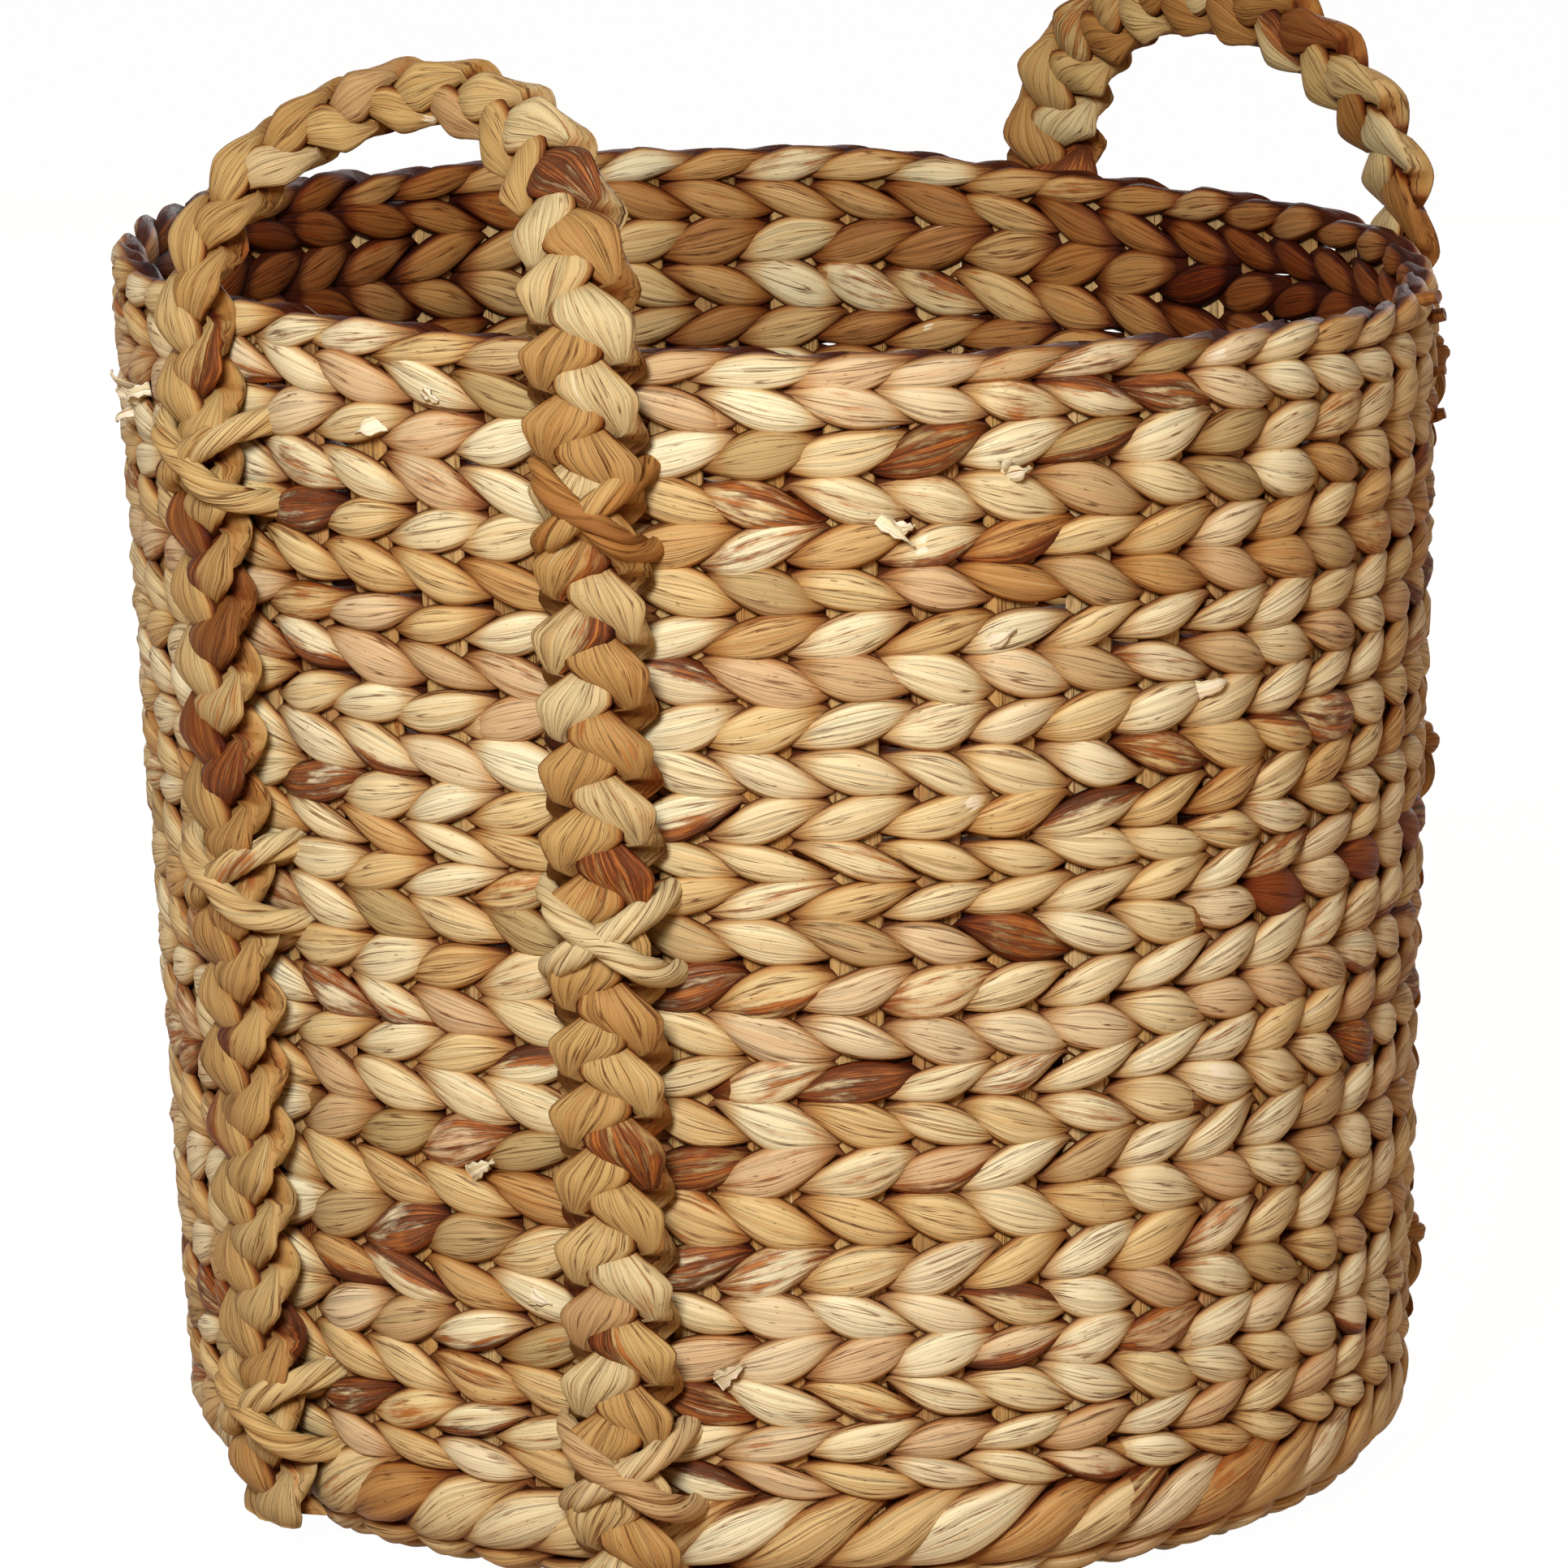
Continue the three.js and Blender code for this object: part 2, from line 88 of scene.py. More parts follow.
BEND_LENGTH = math.pi / 2 * (BEND_RADIUS - MIDDLE)
BASE_EDGE = BEND_RADIUS - BEND_LENGTH  # of the base, as a length up the stakes' line

# Stakes and courses
STAKE_COUNT = 50
PITCH = FULL_TURN / STAKE_COUNT
STAKE_DRIFT = np.random.default_rng(11).uniform(-1, 1, (2, STAKE_COUNT)) * 0.0055
DRIFT_LENGTH = 140  # of wall over which a stake's drift changes
SPLICE = 0.3  # of a lobe by which a stem's tapered ends lie side by side
STEM_SLACK = 1.06  # length of a stem over the length of its course
STAKE_TUCK = 4.5  # of a stake's tip inside the rim rope
STAKE_PAINTED_SHADE = 0.12  # how much shade is painted on the stakes, which lie behind the stems
SPOKE_START = 14  # radius at which the spokes start
SPOKE_SHARE = 0.42  # of the pitch, that half a spoke fills at most
LOBE_LENGTH = 27  # from stake to stake
BASE_ROWS = 12
HUB_RADIUS = 8  # of the opening in the middle of the base's rows
# Lobes round a row of the base, each after the radius above which there are so many
BASE_LOBES = ((115, 50), (55, 24), (26, 12), (0, 6))
# Leaf shapes of the lobes: where their width ends, where their slant ends, and how full they are
LONG_LEAF = (0.94, 0.80, 1.35)
SHORT_LEAF = (0.79, 0.73, 1.80)

# Hue picks along the stems' ramp of colours, and how often each occurs
HUE_PICKS = [0.05, 0.30, 0.42, 0.50, 0.58, 0.66, 0.74, 0.82, 0.95]
HUE_SHARES = [.015, .085, .15, .20, .22, .16, .09, .06, .02]
STAKE_HUES = [0.4, 0.5, 0.8]
EVERY_BLEACH = 90.0  # lobes from one torn spot to the next
GRAIN_RUN = 4000  # range over which the stems' patterns are spread along them
GRAIN_SPREAD = 300  # and to either side

# The handles' lines are the CAD model's: degrees round the axis to an arch's middle, from there
# to a leg, and how far the arch leans in. The rest is the scene's own: how much darker the stems
# are picked and, at places in degrees round the arch, the braid's share of its full width and
# the degrees that its face is turned.
LEGS = {"a": -1, "b": 1}
LEVELS = ("low", "middle", "high")
HANDLES = {
    "left": {
        "turn": 186.75, "spread": 19.3, "lean": 34, "darker": 0.19, "deepest": 0.29,
        "shape": [(0, 0.66, -20), (50, 0.60, -18), (85, 0.60, -8), (104, 0.68, 0),
                  (128, 1.0, 0), (180, 1.0, 0)]},
    "right": {
        "turn": 353.25, "spread": 22.2, "lean": 6, "darker": 0.44, "deepest": 0.17,
        "shape": [(0, 1.0, 0), (40, 0.84, 0), (80, 0.74, 0), (110, 0.74, 0),
                  (150, 0.9, 0), (180, 1.0, 0)]},
}
ARCH_RISE = 68
LEG_END_TURN = 30  # degrees round the foot's turn
LEG_END_STEPS = 6
LEG_STEPS = 60
ARCH_STEPS = 62
EASE_LENGTH = 45  # of leg in which a braid takes on the shape of its arch
BRAID_DEPTH = 7.3  # of a braid's middle over the wall
BRAID_HALF = 15.5
BRAID_STEP = 1.9
BRAID_SIDES = 20
BRAID_SLACK = 1.25  # length of a stem over the length of its braid
LINE_WEIGHTS = np.array([1, 2, 3, 4, 3, 2, 1]) / 16  # that smooth a braid's line
TIE_SQUEEZE = 0.14  # of the width, at a lashing
TIE_REACH = 10

# Lashings: hue picks from the low to the high one
CORD_HUES = {"lefta": (0.40, 0.50, 0.46), "leftb": (0.70, 0.64, 0.24),
             "righta": (0.3, 0.3, 0.25), "rightb": (0.4, 0.35, 0.3)}
CORD_SINK = 9  # of a lashing's ends between the lobes of the wall
CORD_TOP = 15.4  # of a lashing's middle over the wall
CORD_PITCH = 52  # of a lashing's two plies
CORD_STEP = 1.7
CORD_BENDS = 50
CORD_SIDES = 12
# Of a cord's radius: how far its plies lie off its middle, and their half width and thickness
PLY_OFFSET, PLY_HALF, PLY_HALF_THICKNESS = 0.40, 0.84, 0.6
CORD_HALF = 20  # of a cord's way across the braid
HIGH_CORD_HALF = 17  # of the highest ones on the b legs

# Torn flaps of the wall: turn, height, run, rise, and depth at the root and at the tip
FLAPS = [
    (190.5, 382, 7, -4, 4, 7), (186.5, 369, -9, -4, 4, 7), (239.9, 360, 7, 3, 4, 8.5),
    (240.6, 362, -5, 4, 4, 8), (229.0, 349, 11, -9, 4, 7), (230.2, 345, 7, 1, 4, 7),
    (238.4, 308, 8, 5, 4, 7), (259.0, 287, 9, 3, 4, 7), (191.4, 135, 10, 6, 4, 6.5),
    (196.4, 100, 10, -3, 4, 6.5), (213.9, 75, 9, 7, 4, 7), (147.4, 358, -3, 6, 3, 12),
    (148.6, 356, -6, 2, 3, 11), (147.0, 352, -4, -5, 3, 11), (150.0, 360, -5, -4, 3, 9),
    (86.9, 340, 7, 4, -4, -8),
]
FLAP_HALF = 2.9
FLAP_HALF_THICKNESS = 0.4
# Cut ends of spliced stems: turn, height and thickness, and the bends by which they stand out
STUBS = [(297.5, 394, 4.6), (301.5, 386, 4.6), (304.0, 366, 3.4), (306.5, 350, 4.4)]
STUB_BENDS = [(0, -3, 0), (0, -1, 6), (-2, 0, 9.5)]
STUB_HALF = 4.2

# The kinds of dried stem: tint, roughness, how far stains reach and how strong the shade painted
# into the depths is
STEM_KINDS = {
    "dried_hyacinth_stem": ("#FFFDF8", 0.56, 0.55, 0.95),  # pressed flat and twined
    "dried_stake_stem": ("#E3CDB0", 0.62, 0.5, 0.8),  # flat, upright and shaded
    "braided_hyacinth_stem": ("#E4D8C2", 0.56, 0.6, 0.95),  # pressed flat and braided
    "twisted_hyacinth_cord": ("#E9DCC6", 0.6, 0.6, 0.9),  # two plies twisted together
}

# How a mesh's map is laid out: rings of a tube in a cell of the map, and the cells' margin
STRIP_RINGS = 40
MAP_PAD = 0.02

# The camera, fitted to the rim, the courses and the outline in the photograph
CAMERA_TURN = math.radians(-49.05)
CAMERA_DISTANCE = 2946
CAMERA_HEIGHT = 857
CAMERA_PITCH = 0.2127
CAMERA_ROLL = 0.0057
FOCAL_PIXELS = 11393
AXIS_PIXELS = 16  # of the basket's axis right of the picture's middle
IMAGE_PIXELS = 1932
CAMERA_RIGHT = np.array([math.cos(CAMERA_TURN), math.sin(CAMERA_TURN)])


def share_property(name, description, share):
    return bpy.props.FloatProperty(name=name, description=description, default=share)


def length_property(name, description, size):
    return bpy.props.FloatProperty(name=name, description=description, default=size * MILLIMETRE,
                                   unit="LENGTH", subtype="DISTANCE")


def colour_property(name, description, value):
    return bpy.props.FloatVectorProperty(name=name, description=description, subtype="COLOR",
                                         default=linear(value))


class BasketSizes(bpy.types.PropertyGroup):
    stem_width_share: share_property(
        "Stem width", "Widest half of a lobe as a share of its course's height", 0.572)
    twist_share: share_property(
        "Twist", "Rise of a lobe from its middle to its tip as a share of its course's height",
        0.34)
    edge_share: share_property(
        "Edge", "How proud a lobe's edges stand as a share of how proud its middle stands", 0.42)
    stake_width: length_property("Stake width", "Width of a flat upright stake", 16)
    stake_thickness: length_property("Stake thickness", "Thickness of a flat upright stake", 2.2)
    lean_share: share_property(
        "Lean", "Sideways lean of the wall as a share of the height", 0.0158)
    rim_tilt: length_property(
        "Rim tilt", "How much higher the rim stands on one side than in the middle", 5.2)


class BraidSizes(bpy.types.PropertyGroup):
    repeat: length_property(
        "Repeat", "Length of braid in which a strand comes back to its side", 64)
    lobe_offset: length_property(
        "Lobe offset", "From the braid's middle to the middle of a lobe", 5.2)
    lobe_reach: length_property(
        "Lobe reach", "How far a lobe runs outwards from its middle to its tip", 6.4)
    lobe_width: length_property(
        "Lobe width", "Widest part of a lobe, measured across the braid", 26)
    thickness: length_property("Thickness", "Thickness of the braid", 14.6)
    cord_radius: length_property("Lashing radius", "Outer radius of a twisted lashing cord", 4.5)


class StemColours(bpy.types.PropertyGroup):
    straw: colour_property("Straw", "Most of the dried stems", "#D2BB88")
    pale: colour_property("Pale", "Young pale stems", "#E2DCBB")
    tan: colour_property("Tan", "Older stems", "#B68B54")
    blush: colour_property("Blush", "Pinkish stems", "#CAAD86")
    olive: colour_property("Olive", "Stems that dried green", "#B09A6C")
    rust: colour_property("Rust", "Stains of the leaf's foot", "#773C1B")
    bark: colour_property("Bark", "Darkest stains", "#401B0B")
    pith: colour_property("Pith", "Torn spots where the white pith shows", "#EBE1C8")
    # Painted shade: the colour that the depths between the stems and their edge lines are darkened
    # towards
    painted_shade: colour_property("Cavity", "Depths between the stems", "#4C210B")


def millimetres(length):
    return length / MILLIMETRE


def eased(share):
    return share * share * (3 - 2 * share)


def normalized(vectors):
    return vectors / np.maximum(np.linalg.norm(vectors, axis=-1, keepdims=True), 1e-9)


def lengths_along(points):
    return np.concatenate([[0], np.cumsum(np.linalg.norm(np.diff(points, axis=0), axis=1))])


def ring_turn(sides):
    return FULL_TURN * np.arange(sides) / sides


def outward(turn):
    return np.array([math.cos(math.radians(turn)), math.sin(math.radians(turn)), 0.0])


def smooth_noise(rng, count, knots, rows=1, closed=False):
    """Random values between -1 and 1 that change smoothly over count samples."""
    knots = max(int(knots), 2)
    values = rng.uniform(-1, 1, (knots + (0 if closed else 1), rows))
    if closed:
        values = np.vstack([values, values[:1]])
    place = np.linspace(0, len(values) - 1, count)
    index = np.minimum(place.astype(int), len(values) - 2)
    share = eased((place - index)[:, None])
    return values[index] * (1 - share) + values[index + 1] * share


def settle(points):
    """The slight lean of the wall and tilt of the rim of a hand-woven basket."""
    sizes = bpy.context.scene.basket_sizes
    along = points[..., :2] @ CAMERA_RIGHT
    height = points[..., 2]
    moved = points.copy()
    moved[..., :2] -= (sizes.lean_share * height)[..., None] * CAMERA_RIGHT
    tilt = millimetres(sizes.rim_tilt) / (RIM_TOP * RIM_RADIUS)
    moved[..., 2] = height * (1 - tilt * along)
    return moved


def wall_radius(height):
    return FOOT_RADIUS + WALL_SLOPE * (height - LOW_COURSE[1][2])


def on_wall(angle, length, depth):
    """Points from the angle, the length up the stakes' line, which equals the height on the
    wall and goes on round the foot's turn and inwards under the base, and the depth outwards."""
    turn = np.clip((BEND_RADIUS - length) / (BEND_RADIUS - MIDDLE), 0, math.pi / 2)
    inward = np.maximum(BASE_EDGE - length, 0)
    on_bend = BEND_RADIUS - MIDDLE + depth
    centre = wall_radius(BEND_RADIUS) - BEND_RADIUS
    radius = centre - inward + on_bend * np.cos(turn)
    height = BEND_RADIUS - on_bend * np.sin(turn)
    above = length > BEND_RADIUS
    radius = np.where(above, wall_radius(length) - MIDDLE + depth, radius)
    height = np.where(above, length, height)
    return np.stack([radius * np.cos(angle), radius * np.sin(angle), height], axis=-1)


def stake_angle(count, length):
    """The angle of a place counted in stakes, with the stakes' own small drift up the wall."""
    place = np.mod(count, STAKE_COUNT)
    index = np.floor(place).astype(int) % STAKE_COUNT
    share = eased(place - np.floor(place))
    drift = [table[index] * (1 - share) + table[(index + 1) % STAKE_COUNT] * share
             for table in STAKE_DRIFT]
    phase = np.asarray(length) / DRIFT_LENGTH
    return (count + 0.5) * PITCH + drift[0] * np.cos(phase) + drift[1] * np.sin(phase)


def wall_wave(count, length):
    """Small unevenness of the courses round the wall."""
    angle = count * PITCH
    fade = np.clip(length / 80, 0, 1)
    broad = 0.8 * np.sin(2 * angle + length / 60)
    fine = 0.6 * np.sin(5 * angle - length / 45 + 1)
    return fade * (broad + fine)


def painted_inner_shade(angle):
    """Painted shade on the stems' inner faces: a little everywhere, most where the wall is seen
    side on from the camera, least at the front and back.
    """
    return 0.10 + 0.68 * np.clip(2.2 * np.abs(np.cos(angle - CAMERA_TURN)) - 0.75, 0, 1)


def tube_faces(flat, rings, sides, cell, grid):
    """The side faces of a tube and its two caps, all outward, each with its corners' places in
    the map, where every strip of rings fills a cell of its own from the given one on."""
    columns, rows = grid
    i, j = np.meshgrid(np.arange(rings - 1), np.arange(sides), indexing="ij")
    k = (j + 1) % sides
    quads = np.stack([i * sides + j, (i + 1) * sides + j, (i + 1) * sides + k, i * sides + k], -1)
    quads = quads.reshape(-1, 4)
    place = (cell + i // STRIP_RINGS)[..., None]
    ring = i % STRIP_RINGS
    across = np.stack([ring, ring + 1, ring + 1, ring], -1) / STRIP_RINGS
    up = np.stack([j, j, j + 1, j + 1], -1) / sides
    quad_map = np.stack([
        (place % columns + MAP_PAD + across * (1 - 2 * MAP_PAD)) / columns,
        (place // columns + MAP_PAD + up * (1 - 2 * MAP_PAD)) / rows], -1).reshape(-1, 4, 2)
    a, b, c, d = (flat[quads[:, n]] for n in range(4))
    first = np.arange(sides)[::-1]
    last = np.arange(sides) + (rings - 1) * sides
    if np.einsum("ij,ij->", a, np.cross(b, c) + np.cross(c, d)) < 0:
        quads, quad_map = quads[:, ::-1], quad_map[:, ::-1]
        first, last = first[::-1], last[::-1]
    turn = ring_turn(sides)
    cap_map = np.array([(cell % columns + MAP_PAD / 2) / columns,
                        (cell // columns + MAP_PAD / 2) / rows])
    cap_map = cap_map + MAP_PAD / 8 * np.stack([np.cos(turn) / columns, np.sin(turn) / rows], -1)
    return (quads, quad_map), (first[None], cap_map), (last[None], cap_map)


def fill(data, key, values, kind=np.float32):
    data.foreach_set(key, np.concatenate(values).astype(kind).ravel())


class Weave:
    """Collects closed tubes of stems and makes one mesh of them."""

    def __init__(self, name, seed):
        self.name = name
        self.rng = np.random.default_rng(seed)
        self.tubes = []

    def tube(self, points, grain, tone, painted_shade):
        """Adds rings of points with their places in the grain, their hue pick, stain and bleach,
        and how much shade is painted on them for lying deep between the stems."""
        painted_shade = np.broadcast_to(painted_shade, points.shape[:2])[..., None]
        self.tubes.append((settle(points), grain, np.concatenate([tone, painted_shade], -1)))

    def make(self, kind, slot, *nodes):
        """Makes the mesh, of one kind of stem, with its map and attributes, on the root body."""
        cells = [math.ceil((len(points) - 1) / STRIP_RINGS) for points, _, _ in self.tubes]
        columns = max(1, round(math.sqrt(sum(cells) / 4)))
        grid = (columns, math.ceil(sum(cells) / columns))
        verts, grains, tones, loops, starts, sizes, maps = [], [], [], [], [], [], []
        base = cell = loop_count = 0
        for (points, grain, tone), used in zip(self.tubes, cells):
            flat = points.reshape(-1, 3)
            for face, around in tube_faces(flat, *points.shape[:2], cell, grid):
                count, corners = face.shape
                loops.append((face + base).ravel())
                maps.append(around.reshape(-1, 2))
                starts.append(loop_count + corners * np.arange(count))
                sizes.append(np.full(count, corners))
                loop_count += count * corners
            verts.append(flat * MILLIMETRE)
            grains.append(grain.reshape(-1, 3))
            tones.append(tone.reshape(-1, 4))
            base += len(flat)
            cell += used
        face_count = sum(len(part) for part in starts)
        mesh = bpy.data.meshes.new(self.name)
        mesh.vertices.add(base)
        fill(mesh.vertices, "co", verts)
        mesh.loops.add(loop_count)
        fill(mesh.loops, "vertex_index", loops, np.int32)
        mesh.polygons.add(face_count)
        fill(mesh.polygons, "loop_start", starts, np.int32)
        fill(mesh.polygons, "loop_total", sizes, np.int32)
        mesh.update(calc_edges=True)
        mesh.validate()
        fill(mesh.uv_layers.new(name="OFBake").data, "uv", maps)
        fill(mesh.attributes.new("grain", "FLOAT_VECTOR", "POINT").data, "vector", grains)
        fill(mesh.attributes.new("tone", "FLOAT_COLOR", "POINT").data, "color", tones)
        mesh.polygons.foreach_set("use_smooth", np.ones(face_count, bool))
        mesh.materials.append(dried_stem(kind))
        piece = bpy.data.objects.new(self.name, mesh)
        bpy.context.scene.collection.objects.link(piece)
        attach(piece, "root")
        if nodes:
            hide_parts(*nodes)


def grain_map(along, across, through):
    return np.stack(np.broadcast_arrays(along, across, through), -1)


def grain_shift(rng):
    """Gives each stem a pattern of its own."""
    return np.array([rng.uniform(0, GRAIN_RUN), rng.uniform(-GRAIN_SPREAD, GRAIN_SPREAD), 0])


def stem_section(rng, path, along, across, through, half_width, half_thickness, sides, crease):
    """Points of a flattened stem round its path, with soft lengthwise creases."""
    turn = ring_turn(sides)
    broad = smooth_noise(rng, len(path), along[-1] / 55, rows=sides)
    fine = smooth_noise(rng, len(path), along[-1] / 14, rows=sides)
    wide = half_width[:, None] * np.cos(turn)
    lift = half_thickness * np.sin(turn)
    lift = lift * (1 + 0.10 * broad) + crease * np.sign(np.sin(turn)) * broad + 0.18 * fine
    points = path[:, None] + wide[..., None] * across[:, None] + lift[..., None] * through[:, None]
    return points, grain_map(along[:, None], half_width.max() * np.cos(turn)[None],
                             half_thickness * np.sin(turn)[None])


def stains(rng, place, every, width):
    """Amount of stain along a stem: bumps about one to each given length."""
    amount = np.zeros(len(place))
    for _ in range(rng.poisson((place[-1] - place[0]) / every)):
        centre = rng.uniform(place[0], place[-1])
        reach = width * rng.uniform(0.5, 1.5)
        bump = rng.uniform(0.45, 1) * np.exp(-((place - centre) / reach) ** 4)
        amount = np.maximum(amount, bump)
    return amount


def stem_tone(rng, place, across, front=None, every_stain=11.0, hue=None, stem=9):
    """Hue pick, stain and bleach over a strand whose places are counted in lobes and whose sides
    run from -1 to 1. front tells the points of the outward face, whose lobes lie at even places.
    Without a hue, a stem ends about every given number of lobes and the next one is spliced in."""
    place = place[:, None] + 0 * across
    number = np.floor(place + 0.5)
    if front is not None:
        number = np.where(front, 2 * np.floor((place + 1) / 2), 2 * np.floor(place / 2) + 1)
    within = place - number
    number = (number - number.min()).astype(int)
    count = number.max() + 1
    picks = np.full(count, rng.normal(0, 0.05)) + (hue or 0)
    kind = rng.uniform(0, 1, count)
    if hue is None:
        stems = np.cumsum(rng.uniform(0, 1, count) < 1 / stem)
        picks = rng.choice(HUE_PICKS, size=count, p=HUE_SHARES)[stems]
        picks = picks + rng.normal(0, 0.06, count)
    elif front is None:
        kind = 0 * kind

    # Lobes stained whole, lobes with a stained edge, and faintly stained lobes
    def stained(start, share, low, high):
        chosen = (kind > start) & (kind < start + share / every_stain)
        return np.where(chosen, rng.uniform(low, high, count), 0)

    whole = stained(1 - 0.45 / every_stain, math.inf, 0.65, 1)
    edge = stained(0.5, 0.8, 0.6, 1)
    light = stained(0.2, 2.2, 0.15, 0.4)
    side, way = rng.choice([-1, 1], (2, count))
    tips = rng.uniform(-0.35, 0.42, count)[number] * np.clip((np.abs(within) - 0.35) / 0.5, 0, 1)
    stain = whole[number] * (0.8 + 0.2 * way[number] * within) + light[number]
    stain = stain + np.maximum(tips, 0)
    lean = np.clip(0.35 + 1.1 * side[number] * across + 0.3 * way[number] * within, 0, 1)
    stain = np.maximum(stain, edge[number] * lean)
    if front is None:
        stain = np.maximum(stain, stains(rng, place[:, 0], 2 * every_stain, 0.35)[:, None])
    bleach = stains(rng, place[:, 0], EVERY_BLEACH, 0.16)[:, None]
    bleach = bleach * np.clip(1 - 1.3 * np.abs(across - 0.3), 0, 1)
    return np.stack([np.clip(picks, 0, 1)[number], np.clip(stain, 0, 1), bleach], -1)


def lobe(place, leaf):
    """Slant from -1 to 1, and half width and rise from 0 to 1, of a lobe at places counted in
    half turns from its middle. It is a leaf shape that runs straight from tip to tip."""
    tip, turn, full = leaf
    place = np.mod(place + 1, 2) - 1
    size = np.abs(place)
    slant = np.where(size < turn, size / turn, (1 - size) / (1 - turn)) * np.sign(place)
    width = np.maximum(1 - (size / tip) ** full, 0.09)
    rise = np.cos(np.minimum(size / 0.95, 1) * math.pi / 2)
    return slant, width, rise


def dome(share):
    return np.maximum(1 - np.minimum(np.abs(share), 1) ** 2.6, 0) ** 0.62


def folds(rng, along, sides, size):
    """Soft lengthwise creases of a pressed stem."""
    broad = smooth_noise(rng, len(along), along[-1] / 45, rows=sides, closed=True)
    fine = smooth_noise(rng, len(along), along[-1] / 14, rows=sides, closed=True)
    return size * (0.7 * broad + 0.3 * fine)


def two_faced(rng, place, along, centres, reaches, half, proud, edge_share, sides, fall=1.8,
              leaf=LONG_LEAF):
    """Sections of a pressed stem whose one face forms lobes at even places and whose other face
    forms lobes at odd ones. centres and reaches hold, for each face, the middle of its lobes and
    how far these run from middle to tip, and a greater fall lets the tips lie deeper. Gives the
    offsets across and through, and the side of the stem, from -1 to 1, of each point."""
    turn = ring_turn(sides)
    round_side = np.cos(turn)
    front = np.clip(0.5 + 1.1 * np.cos(math.pi * place), 0, 1)[:, None]
    faces = []
    for inner, way, blend in ((0, 1, front), (1, -1, 1 - front)):
        slant, wide, rise = (values[:, None] for values in lobe(place + inner, leaf))
        share = round_side * (blend + (1 - blend) / round_side[1])
        low = proud * edge_share * (0.2 + 0.8 * rise ** fall)
        ridge = proud * (0.14 + 0.86 * rise ** fall)
        middle = centres[inner][:, None] + reaches[inner][:, None] * slant
        faces.append({
            "across": middle + half[:, None] * wide * share,
            "through": way * (low + (ridge - low) * dome(share)),
            "rim_across": middle + half[:, None] * wide * round_side,
            "rim_through": way * low + 0 * share, "wide": wide + 0 * share, "side": share})
    out, into = faces

    def chosen(key, rim):
        """The outer face's values, the inner face's, and those of the rim between them."""
        inner_or_rim = np.where(np.sin(turn) < -0.1, into[key], rim)
        return np.where(np.sin(turn) > 0.1, out[key], inner_or_rim)

    def blended(key):
        return front * out[key] + (1 - front) * into[key]

    across = chosen("across", blended("rim_across"))
    through = chosen("through", blended("rim_through"))
    side = chosen("side", round_side + 0 * across)
    crease = folds(rng, along, sides, 0.75) * chosen("wide", 0 * across)
    return across, through + crease * np.sin(turn), side


def painted_depth_shade(side, reached, start, slope, lined=1.0):
    """Painted shade of a point: more the deeper it lies in the weave, and a thin dark line along
    stems' edges.
    """
    painted_edge_line = lined * np.clip((np.abs(side) - 0.78) / 0.22, 0, 1) ** 1.3
    return np.maximum(np.clip(start - slope * reached, 0, 1), painted_edge_line)


def twine(weave, centre, height, lean, crossings=STAKE_COUNT, steps=12, sides=16,
          proud=MIDDLE - 0.2, width=1.0, twist=1.0, strands=2, inside_shade_share=0.0, leaf=LONG_LEAF):
    """One course: stems that pass outside and inside the stakes and cross between them. lean is
    1 for lobes that rise to the right seen from outside, and -1 for the others. inside_shade_share
    tells how strongly shade is painted onto the stems' inner faces."""
    sizes = bpy.context.scene.basket_sizes
    rng = weave.rng
    radius = float(on_wall(0.0, np.array(centre), np.array(0.0))[0])
    span = STAKE_COUNT / crossings
    total = int(round(crossings * steps))
    nominal = height * sizes.stem_width_share * width
    for strand in range(strands):

        def vary(amount, knots=crossings):
            return amount * smooth_noise(rng, total + 1, knots, closed=True)[:, 0]

        place = np.linspace(-SPLICE, crossings + SPLICE, total + 1)
        left = np.minimum(place + SPLICE, crossings + SPLICE - place)
        ends = np.clip(left / SPLICE, 0.05, 1) ** 0.6
        place = place + 0.5 + rng.integers(0, crossings)
        shifted = place + 2 * strand / strands + vary(0.07)
        reach = lean * height * sizes.twist_share * twist * (1 + vary(0.26))
        half = nominal * (1 + vary(0.15) + vary(0.10, crossings // 3)) * ends
        middle = centre + 1.6 * wall_wave(place * span, centre) + vary(1.1)
        along = (place - place[0]) * span * PITCH * radius * STEM_SLACK
        ups, depths, side = two_faced(
            rng, shifted, along, (middle, middle), (reach, -reach), half,
            proud * ((1 + vary(0.07)) * (0.5 + 0.5 * ends))[:, None], sizes.edge_share, sides,
            leaf=leaf)
        angle = stake_angle(place * span, centre)[:, None] + 0 * ups
        # Painted shade: the depths and the stems' edges are darkened, and the inner faces more so
        # towards the sides seen from the camera
        inside = inside_shade_share * (depths < 0)
        painted_shade = painted_depth_shade(side, np.abs(depths) / proud, 1.10, 1.5) + inside * painted_inner_shade(angle)
        grain = grain_map(along[:, None], nominal * side, 2.0 * np.sign(depths)) + grain_shift(rng)
        tone = stem_tone(rng, shifted, side, depths >= 0)
        # Inner faces are also picked further down the hue ramp, towards tan and rust: more painted
        # shade
        tone[..., 0] -= inside * np.clip(tone[..., 0] - 0.13, 0, 0.28)
        weave.tube(on_wall(angle, ups, depths), grain, tone, painted_shade)


def add_node(tree, kind, settings=None, **links):
    """Adds a node, sets its properties and fills its inputs with values or other sockets."""
    made = tree.nodes.new(kind)
    for key, value in (settings or {}).items():
        setattr(made, key, value)
    for key, value in links.items():
        numbered = key[0] == "i" and key[1:].isdigit()
        socket = made.inputs[int(key[1:]) if numbered else key.replace("_", " ")]
        if isinstance(value, bpy.types.NodeSocket):
            tree.links.new(value, socket)
        else:
            socket.default_value = value
    return made


def empty_tree(owner):
    owner.use_nodes = True
    owner.node_tree.nodes.clear()
    return owner.node_tree


